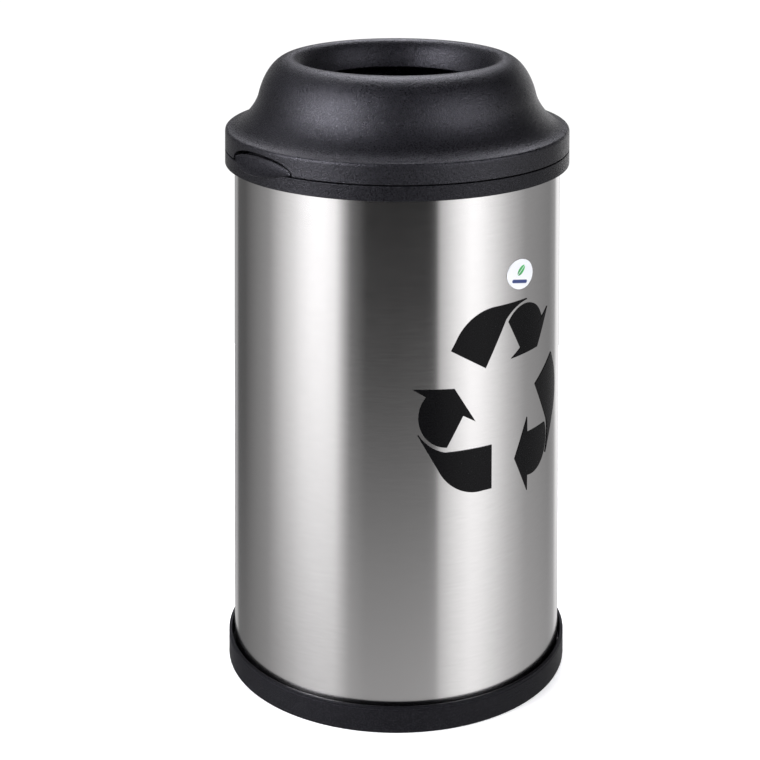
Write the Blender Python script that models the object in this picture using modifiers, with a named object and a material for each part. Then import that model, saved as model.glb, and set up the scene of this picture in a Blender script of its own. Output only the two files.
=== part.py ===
"""A round recycling bin: a brushed steel tube between a plastic base ring and a plastic collar,
an open-mouthed domed lid that lifts off, and a liner bucket with two drop handles inside.

Metres, +Z up. The origin is on the floor, on the tube's axis. The front, with the recycling
sign, faces -Y, and the lid's two finger scoops are at the sides, on +X and -X.
"""

import math

import bmesh
import bpy
from mathutils import Matrix, Vector

# How finely round parts are divided; parts that touch have the same flats
SIDES = 60
LINER_SIDES = 36
SMALL_SIDES = 12
FLAT_COSINE = math.cos(math.pi / SIDES)
LINER_FLAT_COSINE = math.cos(math.pi / LINER_SIDES)
GAP = 0.0003

# Steel tube
TUBE_RADIUS = 0.1889
TUBE_WALL = 0.0008
TUBE_BOTTOM = 0.0090
TUBE_TOP = 0.5885
TUBE_INSIDE = TUBE_RADIUS - TUBE_WALL

# Collar round the tube's upper edge
COLLAR_RADIUS = 0.2000
COLLAR_WALL = 0.0028
COLLAR_BOTTOM = 0.5757
COLLAR_TOP = 0.5920
COLLAR_LEG_BOTTOM = 0.5700
COLLAR_BORE = 0.1850
COLLAR_EDGE = 0.0010

# Base ring round the tube's foot
BASE_RADIUS = 0.1955
BASE_WALL = 0.0037
BASE_BOTTOM = 0.0008
BASE_TOP = 0.0290
BASE_WEB_BOTTOM = 0.0045
BASE_WEB_TOP = TUBE_BOTTOM - 0.0005
BASE_WEB_RADIUS = 0.1600
BASE_FENCE_TOP = 0.0200

# Bottom plate, a dished steel disc on the base ring's web
PLATE_RADIUS = 0.1825
PLATE_BOTTOM = BASE_WEB_TOP + GAP
PLATE_THICKNESS = 0.0015
PLATE_RISE = 0.0040
PLATE_RISE_RADIUS = 0.1500

# Screws from below, and the pads between them
SCREW_COUNT = 6
SCREW_CIRCLE = 0.1765
SCREW_RADIUS = 0.0020
SCREW_HEAD_RADIUS = 0.0045
SCREW_TOP = 0.0155
SCREW_HEAD_HEIGHT = 0.0030
PAD_RADIUS = 0.0100
PAD_CIRCLE = 0.1760
HOLE_CLEARANCE = 0.0003

# Blind rivets through the tube, four at the collar and four at the base ring
RIVET_ANGLES = (45, 135, 225, 315)
RIVET_RADIUS = 0.0020
RIVET_HEAD_RADIUS = 0.0040
RIVET_TAIL_RADIUS = 0.0032
RIVET_HEAD = 0.0012
COLLAR_RIVET_HEIGHT = 0.5785
BASE_RIVET_HEIGHT = 0.0148

# Lid
LID_RADIUS = COLLAR_RADIUS
LID_WALL = 0.0028
LID_BOTTOM = 0.5935
SHOULDER = (0.1995, 0.6163)
WAIST = (0.1617, 0.6529)
CREST = (0.1250, 0.6960)
THROAT = (0.1000, 0.6660)
RIB_SPAN = (0.1815, 0.1842)
RIB_BOTTOM = 0.5840
REST_RIB_SPAN = (0.1875, 0.1900)
REST_RIB_BOTTOM = COLLAR_TOP + GAP

# Finger scoops in the lid's skirt: an arch above, a proud lip below
ARCH_HALF_ANGLE = math.radians(16.2)
ARCH_HEIGHT = 0.0170
SCOOP_HALF_ANGLE = math.radians(17.3)
SCOOP_WALL = 0.0022
SCOOP_TOP_RADIUS = 0.1976
SCOOP_END_RADIUS = 0.1990
SCOOP_LIP = 0.0090
SCOOP_DIP = 0.0060

# Liner bucket
LINER_BOTTOM = PLATE_BOTTOM + PLATE_THICKNESS + PLATE_RISE + GAP
LINER_TOP = 0.5750
LINER_FOOT_RADIUS = 0.1650
LINER_RADIUS = 0.1760
LINER_RIM_RADIUS = 0.1800
LINER_WALL = 0.0015
LINER_BAND_BOTTOM = 0.5300

# Drop handles on the liner, on +X and -X
HANDLE_X = 0.1570
HANDLE_Z = 0.5600
HANDLE_HALF_WIDTH = 0.0400
HANDLE_DROP = 0.0450
HANDLE_BEND = 0.0080
WIRE_RADIUS = 0.0025
WIRE_END = 0.0520
EAR_ANGLE = math.radians(15)
EAR_PLATE = 0.0015
EAR_Y = 0.0460
EAR_LUG = (0.0165, 0.0160)
EAR_FLANGE = (0.0150, 0.0220)
GRIP_RADIUS = 0.0060
GRIP_LENGTH = 0.0560

# Recycling sign: three like arrows on the front of the tube
SIGN_HEIGHT = 0.3450
FILM = 0.0003
FILM_STEP = 0.0130
BAND_INNER = 0.0450
BAND_OUTER = 0.0930
SIGN_TOP = 0.1050
BARB = 0.0170
HEAD_BASE = -0.0345
HEAD_TIP = -0.0130
HEAD_FOLD = -0.0718
TAIL_START = 0.0205
TAIL_FOLD = 0.0760

# Label, an oval above the sign and a little to its right
LABEL_AXES = (0.0215, 0.0165)
LABEL_AZIMUTH = math.radians(6.5)
LABEL_HEIGHT = 0.4790

COLOURS = {
    "lid": ((0.018, 0.018, 0.021), 0.0, 0.42),
    "collar": ((0.015, 0.015, 0.017), 0.0, 0.45),
    "base": ((0.015, 0.015, 0.017), 0.0, 0.45),
    "steel": ((0.60, 0.60, 0.61), 1.0, 0.30),
    "plate": ((0.45, 0.46, 0.47), 1.0, 0.45),
    "zinc": ((0.52, 0.54, 0.56), 1.0, 0.42),
    "fastener": ((0.55, 0.55, 0.56), 1.0, 0.35),
    "rubber": ((0.02, 0.02, 0.02), 0.0, 0.80),
    "wire": ((0.58, 0.59, 0.61), 1.0, 0.28),
    "grip": ((0.02, 0.02, 0.022), 0.0, 0.55),
    "film": ((0.006, 0.006, 0.007), 0.0, 0.40),
    "label": ((0.85, 0.86, 0.86), 0.0, 0.35),
}


def clear_scene():
    for old in list(bpy.data.objects):
        bpy.data.objects.remove(old, do_unlink=True)
    for old in list(bpy.data.collections):
        bpy.data.collections.remove(old)


def new_collection(name):
    made = bpy.data.collections.new(name)
    bpy.context.scene.collection.children.link(made)
    return made


def finish(obj, colour_key):
    """Put a part in the bin's collection with a material of its own."""
    colour, metallic, roughness = COLOURS[colour_key]
    made = bpy.data.materials.new(obj.name + "_material")
    made.use_nodes = True
    shader = made.node_tree.nodes["Principled BSDF"]
    shader.inputs["Base Color"].default_value = (*colour, 1)
    shader.inputs["Metallic"].default_value = metallic
    shader.inputs["Roughness"].default_value = roughness
    obj.data.materials.append(made)
    PARTS.objects.link(obj)
    return obj


def as_cutter(obj):
    """Keep a helper solid out of the model: it only cuts or joins."""
    obj.hide_render = True
    obj.display_type = "WIRE"
    CUTTERS.objects.link(obj)
    return obj


def boolean(obj, tool, operation="DIFFERENCE"):
    cut = obj.modifiers.new(tool.name, "BOOLEAN")
    cut.operation = operation
    cut.solver = "EXACT"
    cut.object = tool


def turned(name, profile, sides=SIDES, closed=True):
    """A profile of (radius, height) points, turned about Z. It runs down its outer side."""
    mesh = bpy.data.meshes.new(name)
    count = len(profile)
    edges = [(i, (i + 1) % count) for i in range(count if closed else count - 1)]
    mesh.from_pydata([(r, 0, z) for r, z in profile], edges, [])
    obj = bpy.data.objects.new(name, mesh)
    screw = obj.modifiers.new("turn", "SCREW")
    screw.steps = screw.render_steps = sides
    screw.use_merge_vertices = True
    screw.merge_threshold = 0.00001
    screw.use_smooth_shade = True
    return obj


def cylinder(name, radius, depth, sides=SMALL_SIDES, squash=1.0):
    """A cylinder along local Z; squash flattens it along local Y."""
    mesh = bpy.data.meshes.new(name)
    work = bmesh.new()
    bmesh.ops.create_cone(
        work, cap_ends=True, segments=sides, radius1=radius, radius2=radius, depth=depth
    )
    bmesh.ops.scale(work, vec=(1, squash, 1), verts=work.verts)
    work.to_mesh(mesh)
    work.free()
    mesh.shade_smooth()
    mesh.set_sharp_from_angle(angle=math.radians(40))
    return bpy.data.objects.new(name, mesh)


def box(name, size):
    mesh = bpy.data.meshes.new(name)
    work = bmesh.new()
    bmesh.ops.create_cube(work, size=1)
    bmesh.ops.scale(work, vec=size, verts=work.verts)
    work.to_mesh(mesh)
    work.free()
    return bpy.data.objects.new(name, mesh)


def bezier(start, lead, follow, end, steps):
    """Points along a cubic curve, with its start and end."""
    corners = [Vector(p) for p in (start, lead, follow, end)]
    points = []
    for i in range(steps + 1):
        t = i / steps
        weights = ((1 - t) ** 3, 3 * (1 - t) ** 2 * t, 3 * (1 - t) * t * t, t**3)
        point = sum((w * c for w, c in zip(weights, corners)), Vector((0, 0)))
        points.append(tuple(point))
    return points


def offset_right(points, distance):
    """Each point of a path moved to its right by distance."""
    moved = []
    for i, point in enumerate(points):
        before, after = Vector(points[max(i - 1, 0)]), Vector(points[min(i + 1, len(points) - 1)])
        along = (after - before).normalized()
        moved.append((point[0] + along.y * distance, point[1] - along.x * distance))
    return moved


def height_at(points, radius):
    """Height where a path of (radius, height) points that runs outwards crosses a radius."""
    for (r0, z0), (r1, z1) in zip(points, points[1:]):
        if r0 <= radius <= r1:
            return z0 + (z1 - z0) * (radius - r0) / (r1 - r0)
    raise ValueError("the path does not reach this radius")


# ---------------------------------------------------------------- outer body


def radial(obj, angle, radius, height):
    """Lay an object's local Z along a radius that points outwards at a polar angle."""
    turn = Matrix.Rotation(math.radians(angle), 4, "Z") @ Matrix.Rotation(math.pi / 2, 4, "Y")
    obj.matrix_world = Matrix.Translation((0, 0, height)) @ turn @ Matrix.Translation((0, 0, radius))
    return obj


def rivet_holes():
    """Cutters for the rivet shanks: they pass from the bore to outside the tube."""
    tools = []
    for height in (COLLAR_RIVET_HEIGHT, BASE_RIVET_HEIGHT):
        for angle in RIVET_ANGLES:
            tool = cylinder("rivet_hole", RIVET_RADIUS + HOLE_CLEARANCE, 0.0120)
            radial(tool, angle, TUBE_RADIUS - 0.0020, height)
            tools.append(as_cutter(tool))
    return tools[:4], tools[4:]


def rivet(name, angle, height, grip_start, grip_end):
    """A blind rivet: head inside, shank through the walls, tail outside."""
    start, end = grip_start * FLAT_COSINE - GAP, grip_end * FLAT_COSINE + GAP
    profile = [
        (0, end + RIVET_HEAD),
        (RIVET_TAIL_RADIUS * 0.7, end + RIVET_HEAD),
        (RIVET_TAIL_RADIUS, end),
        (RIVET_RADIUS, end),
        (RIVET_RADIUS, start),
        (RIVET_HEAD_RADIUS, start),
        (RIVET_HEAD_RADIUS * 0.7, start - RIVET_HEAD),
        (0, start - RIVET_HEAD),
    ]
    obj = turned(name, profile, SMALL_SIDES, closed=False)
    return finish(radial(obj, angle, 0, height), "fastener")


def make_tube(holes):
    profile = [
        (TUBE_RADIUS, TUBE_TOP),
        (TUBE_RADIUS, TUBE_BOTTOM),
        (TUBE_INSIDE, TUBE_BOTTOM),
        (TUBE_INSIDE, TUBE_TOP),
    ]
    tube = turned("steel_tube", profile)
    for tool in holes:
        boolean(tube, tool)
    return finish(tube, "steel")


def make_collar(holes):
    """A channel, open below, whose slot sits over the tube's upper edge."""
    web = COLLAR_TOP - COLLAR_WALL
    inner_leg = TUBE_INSIDE - GAP
    outer_leg = TUBE_RADIUS + GAP
    profile = [
        (COLLAR_RADIUS - COLLAR_EDGE, COLLAR_TOP),
        (COLLAR_RADIUS, COLLAR_TOP - COLLAR_EDGE),
        (COLLAR_RADIUS, COLLAR_BOTTOM),
        (COLLAR_RADIUS - COLLAR_WALL, COLLAR_BOTTOM),
        (COLLAR_RADIUS - COLLAR_WALL, web),
        (outer_leg + COLLAR_WALL, web),
        (outer_leg + COLLAR_WALL, COLLAR_BOTTOM),
        (outer_leg, COLLAR_BOTTOM),
        (outer_leg, TUBE_TOP + GAP),
        (inner_leg, TUBE_TOP + GAP),
        (inner_leg, COLLAR_LEG_BOTTOM),
        (COLLAR_BORE, COLLAR_LEG_BOTTOM),
        (COLLAR_BORE, COLLAR_TOP),
    ]
    collar = turned("top_collar", profile)
    for tool in holes:
        boolean(collar, tool)
    finish(collar, "collar")
    for number, angle in enumerate(RIVET_ANGLES, 1):
        leg_end = outer_leg + COLLAR_WALL
        rivet(f"collar_rivet_{number}", angle, COLLAR_RIVET_HEIGHT, COLLAR_BORE, leg_end)


def make_base_ring(rivet_tools, screw_tools):
    """A ring with a rounded lip, a web that carries the plate, and a fence inside the tube."""
    fence = TUBE_INSIDE - GAP
    inside = BASE_RADIUS - BASE_WALL
    foot = BASE_RADIUS - 0.0030
    profile = [
        (BASE_RADIUS - 0.0012, BASE_TOP - 0.0004),
        (BASE_RADIUS, BASE_TOP - 0.0022),
        (BASE_RADIUS, BASE_BOTTOM),
        (foot, BASE_BOTTOM),
        (foot, BASE_WEB_BOTTOM),
        (BASE_WEB_RADIUS, BASE_WEB_BOTTOM),
        (BASE_WEB_RADIUS, BASE_WEB_TOP),
        (COLLAR_BORE, BASE_WEB_TOP),
        (COLLAR_BORE, BASE_FENCE_TOP),
        (fence, BASE_FENCE_TOP),
        (fence, BASE_WEB_TOP),
        (inside, BASE_WEB_TOP),
        (inside, BASE_TOP - 0.0010),
        (inside + 0.0010, BASE_TOP),
    ]
    ring = turned("base_ring", profile)
    for tool in rivet_tools + screw_tools:
        boolean(ring, tool)
    finish(ring, "base")
    for number, angle in enumerate(RIVET_ANGLES, 1):
        rivet(f"base_rivet_{number}", angle, BASE_RIVET_HEIGHT, COLLAR_BORE, TUBE_RADIUS)


def make_bottom_plate(screw_tools):
    top = PLATE_BOTTOM + PLATE_THICKNESS
    slope = 0.0030
    profile = [
        (0, top + PLATE_RISE),
        (PLATE_RISE_RADIUS, top + PLATE_RISE),
        (PLATE_RISE_RADIUS + slope, top),
        (PLATE_RADIUS, top),
        (PLATE_RADIUS, PLATE_BOTTOM),
        (PLATE_RISE_RADIUS + slope - 0.0012, PLATE_BOTTOM),
        (PLATE_RISE_RADIUS - 0.0012, PLATE_BOTTOM + PLATE_RISE),
        (0, PLATE_BOTTOM + PLATE_RISE),
    ]
    plate = turned("bottom_plate", profile, LINER_SIDES, closed=False)
    for tool in screw_tools:
        boolean(plate, tool)
    return finish(plate, "plate")


def on_circle(radius, degrees, height):
    angle = math.radians(degrees)
    return Vector((radius * math.cos(angle), radius * math.sin(angle), height))


def screw_holes():
    tools = []
    for i in range(SCREW_COUNT):
        tool = cylinder("screw_hole", SCREW_RADIUS + HOLE_CLEARANCE, 0.0200)
        tool.location = on_circle(SCREW_CIRCLE, i * 360 / SCREW_COUNT, 0.0100)
        tools.append(as_cutter(tool))
    return tools


def make_screws_and_pads():
    head_top = BASE_WEB_BOTTOM - GAP
    profile = [
        (0, SCREW_TOP),
        (SCREW_RADIUS * 0.4, SCREW_TOP),
        (SCREW_RADIUS, SCREW_TOP - 0.0020),
        (SCREW_RADIUS, head_top),
        (SCREW_HEAD_RADIUS, head_top),
        (SCREW_HEAD_RADIUS, head_top - SCREW_HEAD_HEIGHT * 0.5),
        (SCREW_HEAD_RADIUS * 0.7, head_top - SCREW_HEAD_HEIGHT),
        (0, head_top - SCREW_HEAD_HEIGHT),
    ]
    for i in range(SCREW_COUNT):
        degrees = i * 360 / SCREW_COUNT
        screw = turned(f"base_screw_{i + 1}", profile, SMALL_SIDES, closed=False)
        screw.location = on_circle(SCREW_CIRCLE, degrees, 0)
        finish(screw, "fastener")
        pad = cylinder(f"foot_pad_{i + 1}", PAD_RADIUS, BASE_WEB_BOTTOM - GAP, 20)
        middle = (BASE_WEB_BOTTOM - GAP) / 2
        pad.location = on_circle(PAD_CIRCLE, degrees + 180 / SCREW_COUNT, middle)
        finish(pad, "rubber")


# ---------------------------------------------------------------- lid


def lid_profile():
    """Funnel, crest, crown, flared shoulder and skirt, then back inside past two ribs."""
    funnel = bezier(THROAT, (0.1095, 0.6785), (0.1130, 0.6960), CREST, 4)
    crown = bezier(CREST, (0.1444, 0.6960), (0.1571, 0.6732), WAIST, 5)
    shoulder = bezier(WAIST, (0.1644, 0.6411), (0.1813, 0.6184), SHOULDER, 5)
    curve = funnel + crown[1:] + shoulder[1:]
    inside = offset_right(curve, LID_WALL)
    over_crest = inside[len(funnel) - 1 :]
    skirt_inside = LID_RADIUS - LID_WALL
    rib_in, rib_out = RIB_SPAN
    rest_in, rest_out = REST_RIB_SPAN
    outer = curve + [(LID_RADIUS, SHOULDER[1] - 0.0010), (LID_RADIUS, LID_BOTTOM)]
    ribs = [
        (skirt_inside, LID_BOTTOM),
        (skirt_inside, SHOULDER[1] - LID_WALL - 0.0010),
        (rest_out, height_at(over_crest, rest_out)),
        (rest_out, REST_RIB_BOTTOM),
        (rest_in, REST_RIB_BOTTOM),
        (rest_in, height_at(over_crest, rest_in)),
        (rib_out, height_at(over_crest, rib_out)),
        (rib_out, RIB_BOTTOM),
        (rib_in, RIB_BOTTOM),
        (rib_in, height_at(over_crest, rib_in)),
    ]
    return outer + ribs + [p for p in reversed(inside) if p[0] < rib_in - 0.002]


def scoop_plate(name, side):
    """The scoop's dished wall: behind the skirt at the arch, proud of it at the lip."""
    mesh = bpy.data.meshes.new(name)
    work = bmesh.new()
    bmesh.ops.create_grid(work, x_segments=12, y_segments=4, size=1)
    for vert in work.verts:
        across, up = vert.co.x, (vert.co.y + 1) / 2
        open_middle = 1 - across * across
        low = LID_BOTTOM + 0.0005 - SCOOP_DIP * open_middle**1.5
        high = LID_BOTTOM + 0.0060 + 0.0130 * math.sqrt(max(open_middle, 0))
        lip = SCOOP_END_RADIUS + SCOOP_LIP * open_middle
        radius = SCOOP_TOP_RADIUS + (lip - SCOOP_TOP_RADIUS) * (1 - up) ** 1.6
        angle = across * SCOOP_HALF_ANGLE
        vert.co.x = side * radius * math.cos(angle)
        vert.co.y = side * radius * math.sin(angle)
        vert.co.z = low + (high - low) * up
    work.to_mesh(mesh)
    work.free()
    plate = bpy.data.objects.new(name, mesh)
    wall = plate.modifiers.new("wall", "SOLIDIFY")
    wall.thickness = SCOOP_WALL
    wall.offset = -1
    return as_cutter(plate)


def make_lid():
    lid = turned("lid", lid_profile())
    for side, label in ((1, "right"), (-1, "left")):
        half_width = LID_RADIUS * math.sin(ARCH_HALF_ANGLE)
        arch = cylinder(f"arch_{label}", half_width, 0.0300, 28, ARCH_HEIGHT / half_width)
        arch.matrix_world = Matrix(
            (
                (0, 0, side, side * 0.2010),
                (side, 0, 0, 0),
                (0, 1, 0, LID_BOTTOM),
                (0, 0, 0, 1),
            )
        )
        boolean(lid, as_cutter(arch))
        boolean(lid, scoop_plate(f"scoop_{label}", side), "UNION")
    return finish(lid, "lid")


# ---------------------------------------------------------------- liner


def make_liner():
    inner_foot = LINER_FOOT_RADIUS - LINER_WALL
    inner_top = LINER_RADIUS - LINER_WALL
    profile = [
        (0, LINER_BOTTOM + LINER_WALL),
        (inner_foot - 0.0045, LINER_BOTTOM + LINER_WALL),
        (inner_foot, LINER_BOTTOM + 0.0060),
        (inner_top, LINER_BAND_BOTTOM),
        (inner_top, LINER_TOP - 0.0020),
        (inner_top + 0.0025, LINER_TOP),
        (LINER_RIM_RADIUS - 0.0010, LINER_TOP - 0.0010),
        (LINER_RIM_RADIUS, LINER_TOP - 0.0045),
        (LINER_RIM_RADIUS - 0.0015, LINER_TOP - 0.0075),
        (LINER_RADIUS, LINER_TOP - 0.0080),
        (LINER_RADIUS, LINER_BAND_BOTTOM),
        (LINER_FOOT_RADIUS, LINER_BOTTOM + 0.0055),
        (LINER_FOOT_RADIUS - 0.0050, LINER_BOTTOM),
        (0, LINER_BOTTOM),
    ]
    return finish(turned("liner_bucket", profile, LINER_SIDES, closed=False), "zinc")


def handle_path():
    """Half of a drop handle, from the wire's end to the middle of its grip, then mirrored."""
    bend_y, bend_z = HANDLE_HALF_WIDTH - HANDLE_BEND, HANDLE_BEND - HANDLE_DROP
    half = [(0, WIRE_END, 0)]
    for i in range(5):
        angle = i * math.pi / 8
        y = HANDLE_HALF_WIDTH + HANDLE_BEND * 0.5 * (1 - math.sin(angle))
        half.append((0, y, -HANDLE_BEND * 0.5 * (1 - math.cos(angle))))
    for i in range(6):
        angle = i * math.pi / 10
        y = bend_y + HANDLE_BEND * math.cos(angle)
        half.append((0, y, bend_z - HANDLE_BEND * math.sin(angle)))
    return half + [(x, -y, z) for x, y, z in reversed(half)]


def make_handle(number, side):
    points = handle_path()
    curve = bpy.data.curves.new(f"drop_handle_{number}", "CURVE")
    curve.dimensions = "3D"
    curve.bevel_depth = WIRE_RADIUS
    curve.bevel_resolution = 2
    curve.use_fill_caps = True
    spline = curve.splines.new("POLY")
    spline.points.add(len(points) - 1)
    for point, place in zip(spline.points, points):
        point.co = (*place, 1)
    handle = bpy.data.objects.new(curve.name, curve)
    handle.location = (side * HANDLE_X, 0, HANDLE_Z)
    finish(handle, "wire")

    half, bore = GRIP_LENGTH / 2, WIRE_RADIUS + GAP
    profile = [
        (GRIP_RADIUS - 0.0010, half),
        (GRIP_RADIUS, half - 0.0010),
        (GRIP_RADIUS, 0.0010 - half),
        (GRIP_RADIUS - 0.0010, -half),
        (bore, -half),
        (bore, half),
    ]
    grip = turned(f"handle_grip_{number}", profile, 16)
    grip.rotation_euler = (math.pi / 2, 0, 0)
    grip.location = (0, 0, -HANDLE_DROP)
    grip.parent = handle
    finish(grip, "grip")


def make_ear(name, side, end):
    """A bent ear: a flange on the bucket's wall and a lug with the handle's eye."""
    wall = (LINER_RADIUS - LINER_WALL) * LINER_FLAT_COSINE - GAP
    angle = end * EAR_ANGLE
    middle = wall - EAR_PLATE / 2
    ear = box(name, (EAR_PLATE, EAR_FLANGE[0], EAR_FLANGE[1]))
    ear.location = (side * middle * math.cos(angle), side * middle * math.sin(angle), HANDLE_Z)
    ear.rotation_euler = (0, 0, angle)
    lug_x = wall * math.cos(EAR_ANGLE) - EAR_LUG[0] / 2 - EAR_PLATE / 2
    lug = box(name + "_lug", (EAR_LUG[0], EAR_PLATE, EAR_LUG[1]))
    lug.location = (side * lug_x, side * end * EAR_Y, HANDLE_Z)
    eye = cylinder(name + "_eye", WIRE_RADIUS + GAP, EAR_PLATE * 4)
    eye.location = (side * HANDLE_X, side * end * EAR_Y, HANDLE_Z)
    eye.rotation_euler = (math.pi / 2, 0, 0)
    boolean(ear, as_cutter(lug), "UNION")
    boolean(ear, as_cutter(eye))
    return finish(ear, "zinc")


def make_handles():
    for number, side in ((1, 1), (2, -1)):
        make_handle(number, side)
        make_ear(f"handle_ear_{number}a", side, 1)
        make_ear(f"handle_ear_{number}b", side, -1)


# ---------------------------------------------------------------- sign and label


def arc_through(start, middle, end, steps):
    """Points along the circle through three points, with its start and end."""
    (ax, ay), (bx, by), (cx, cy) = start, middle, end
    twice = 2 * (ax * (by - cy) + bx * (cy - ay) + cx * (ay - by))
    a2, b2, c2 = ax * ax + ay * ay, bx * bx + by * by, cx * cx + cy * cy
    x = (a2 * (by - cy) + b2 * (cy - ay) + c2 * (ay - by)) / twice
    y = (a2 * (cx - bx) + b2 * (ax - cx) + c2 * (bx - ax)) / twice
    radius = math.hypot(ax - x, ay - y)
    first, last = math.atan2(ay - y, ax - x), math.atan2(cy - y, cx - x)
    turn = (last - first + math.pi) % (2 * math.pi) - math.pi
    angles = [first + turn * i / steps for i in range(steps + 1)]
    return [(x + radius * math.cos(a), y + radius * math.sin(a)) for a in angles]


def in_band(lean, out, along):
    """A point of a straight band: out from the sign's centre, along the way its arrow runs."""
    c, s = math.cos(lean), math.sin(lean)
    return (out * c + along * s, out * s - along * c)


def head_outline():
    """The folded-over half of the upper arrow, with its head; it runs down to the right."""
    lean = math.radians(30)
    middle = (BAND_INNER + BAND_OUTER) / 2
    fold_start = in_band(lean, BAND_OUTER, HEAD_BASE)
    fold_end = in_band(lean, BAND_INNER, HEAD_FOLD)
    points = [
        in_band(lean, BAND_INNER, HEAD_BASE),
        in_band(lean, BAND_INNER - BARB, HEAD_BASE),
        in_band(lean, middle, HEAD_TIP),
        in_band(lean, BAND_OUTER + BARB, HEAD_BASE),
    ]
    return points + arc_through(fold_start, (0.0355, 0.0993), fold_end, 9)


def tail_outline():
    """The rising half of the upper arrow; its end tucks behind the fold."""
    lean = math.radians(150)
    fold = in_band(lean, BAND_INNER, TAIL_FOLD)
    points = [in_band(lean, BAND_OUTER, TAIL_START), in_band(lean, BAND_INNER, TAIL_START)]
    points += arc_through(fold, (0.0168, 0.1003), (0.0325, 0.1038), 6)
    points += [(0.0325, SIGN_TOP)]
    shoulder_end = in_band(lean, BAND_OUTER, TAIL_START + 0.0120)
    return points + arc_through((-0.0120, SIGN_TOP), (-0.0435, 0.0975), shoulder_end, 8)


def film(name, outline, azimuth, height, colour_key):
    """A thin film: a flat outline wrapped round the tube, with its centre at an azimuth."""
    curve = bpy.data.curves.new(name, "CURVE")
    curve.dimensions = "2D"
    curve.fill_mode = "BOTH"
    curve.extrude = FILM / 2
    spline = curve.splines.new("POLY")
    spline.points.add(len(outline) - 1)
    for point, (x, y) in zip(spline.points, outline):
        point.co = (x, y, 0, 1)
    spline.use_cyclic_u = True
    flat = bpy.data.objects.new(name, curve)
    CUTTERS.objects.link(flat)
    graph = bpy.context.evaluated_depsgraph_get()
    mesh = bpy.data.meshes.new_from_object(flat.evaluated_get(graph))
    bpy.data.objects.remove(flat)

    work = bmesh.new()
    work.from_mesh(mesh)
    bmesh.ops.remove_doubles(work, verts=work.verts, dist=0.000001)
    reach = max(abs(x) for x, y in outline)
    steps = int(reach / FILM_STEP)
    for i in range(-steps, steps + 1):
        everything = [*work.verts, *work.edges, *work.faces]
        spot = (i * FILM_STEP, 0, 0)
        bmesh.ops.bisect_plane(work, geom=everything, plane_co=spot, plane_no=(1, 0, 0))
    for vert in work.verts:
        radius = TUBE_RADIUS + GAP + FILM / 2 + vert.co.z
        angle = azimuth + vert.co.x / TUBE_RADIUS
        up = height + vert.co.y
        vert.co = (radius * math.sin(angle), -radius * math.cos(angle), up)
    bmesh.ops.remove_doubles(work, verts=work.verts, dist=FILM / 2)
    bmesh.ops.recalc_face_normals(work, faces=work.faces)
    if work.calc_volume(signed=True) < 0:
        bmesh.ops.reverse_faces(work, faces=work.faces)
    bmesh.ops.triangulate(work, faces=work.faces)
    work.to_mesh(mesh)
    work.free()
    return finish(bpy.data.objects.new(name, mesh), colour_key)


def turned_outline(outline, degrees):
    c, s = math.cos(math.radians(degrees)), math.sin(math.radians(degrees))
    return [(x * c - y * s, x * s + y * c) for x, y in outline]


def make_sign():
    for number, degrees in ((1, 0), (2, -120), (3, 120)):
        tail = turned_outline(tail_outline(), degrees)
        head = turned_outline(head_outline(), degrees)
        film(f"sign_tail_{number}", tail, 0, SIGN_HEIGHT, "film")
        film(f"sign_head_{number}", head, 0, SIGN_HEIGHT, "film")


def make_label():
    count = 20
    angles = [2 * math.pi * i / count for i in range(count)]
    oval = [(LABEL_AXES[0] * math.cos(a), LABEL_AXES[1] * math.sin(a)) for a in angles]
    film("front_label", oval, LABEL_AZIMUTH, LABEL_HEIGHT, "label")


clear_scene()
PARTS = new_collection("recycling_bin")
CUTTERS = new_collection("cutters")
COLLAR_HOLES, BASE_HOLES = rivet_holes()
SCREW_HOLES = screw_holes()
make_tube(COLLAR_HOLES + BASE_HOLES)
make_collar(COLLAR_HOLES)
make_base_ring(BASE_HOLES, SCREW_HOLES)
make_bottom_plate(SCREW_HOLES)
make_screws_and_pads()
make_lid()
make_liner()
make_handles()
make_sign()
make_label()
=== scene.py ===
"""Round recycling bin: smooth surfaces and finishes for every part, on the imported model's frame.

Metres, +Z up, floor at z = 0, the tube's axis on x = y = 0, the sign facing -Y.
"""

import math

import bmesh
import bpy
import numpy as np
from bpy.props import FloatProperty, FloatVectorProperty, IntProperty, PointerProperty
from mathutils import Matrix, Vector


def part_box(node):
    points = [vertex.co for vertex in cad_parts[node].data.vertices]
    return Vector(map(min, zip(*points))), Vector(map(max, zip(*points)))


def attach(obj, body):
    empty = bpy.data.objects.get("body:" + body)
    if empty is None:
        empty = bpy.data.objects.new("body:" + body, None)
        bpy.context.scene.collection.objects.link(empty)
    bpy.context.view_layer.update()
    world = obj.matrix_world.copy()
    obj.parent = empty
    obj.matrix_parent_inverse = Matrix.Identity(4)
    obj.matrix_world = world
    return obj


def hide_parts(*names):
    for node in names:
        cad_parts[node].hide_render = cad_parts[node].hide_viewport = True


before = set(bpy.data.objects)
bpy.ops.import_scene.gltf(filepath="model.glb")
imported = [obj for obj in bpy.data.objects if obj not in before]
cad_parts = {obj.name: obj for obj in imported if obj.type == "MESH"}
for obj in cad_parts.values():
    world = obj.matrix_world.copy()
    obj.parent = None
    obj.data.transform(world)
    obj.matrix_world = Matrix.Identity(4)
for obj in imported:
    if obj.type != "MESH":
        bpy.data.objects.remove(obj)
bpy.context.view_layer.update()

bl_info = {
    "name": "Recycling bin",
    "version": (1, 0, 0),
    "blender": (4, 5, 0),
    "location": "3D View > Sidebar > Recycling bin",
    "description": "Builds a round steel recycling bin with a lift-off lid and a liner bucket",
    "category": "Add Mesh",
}


def lowest(node):
    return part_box(node)[0]


def highest(node):
    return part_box(node)[1]


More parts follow.
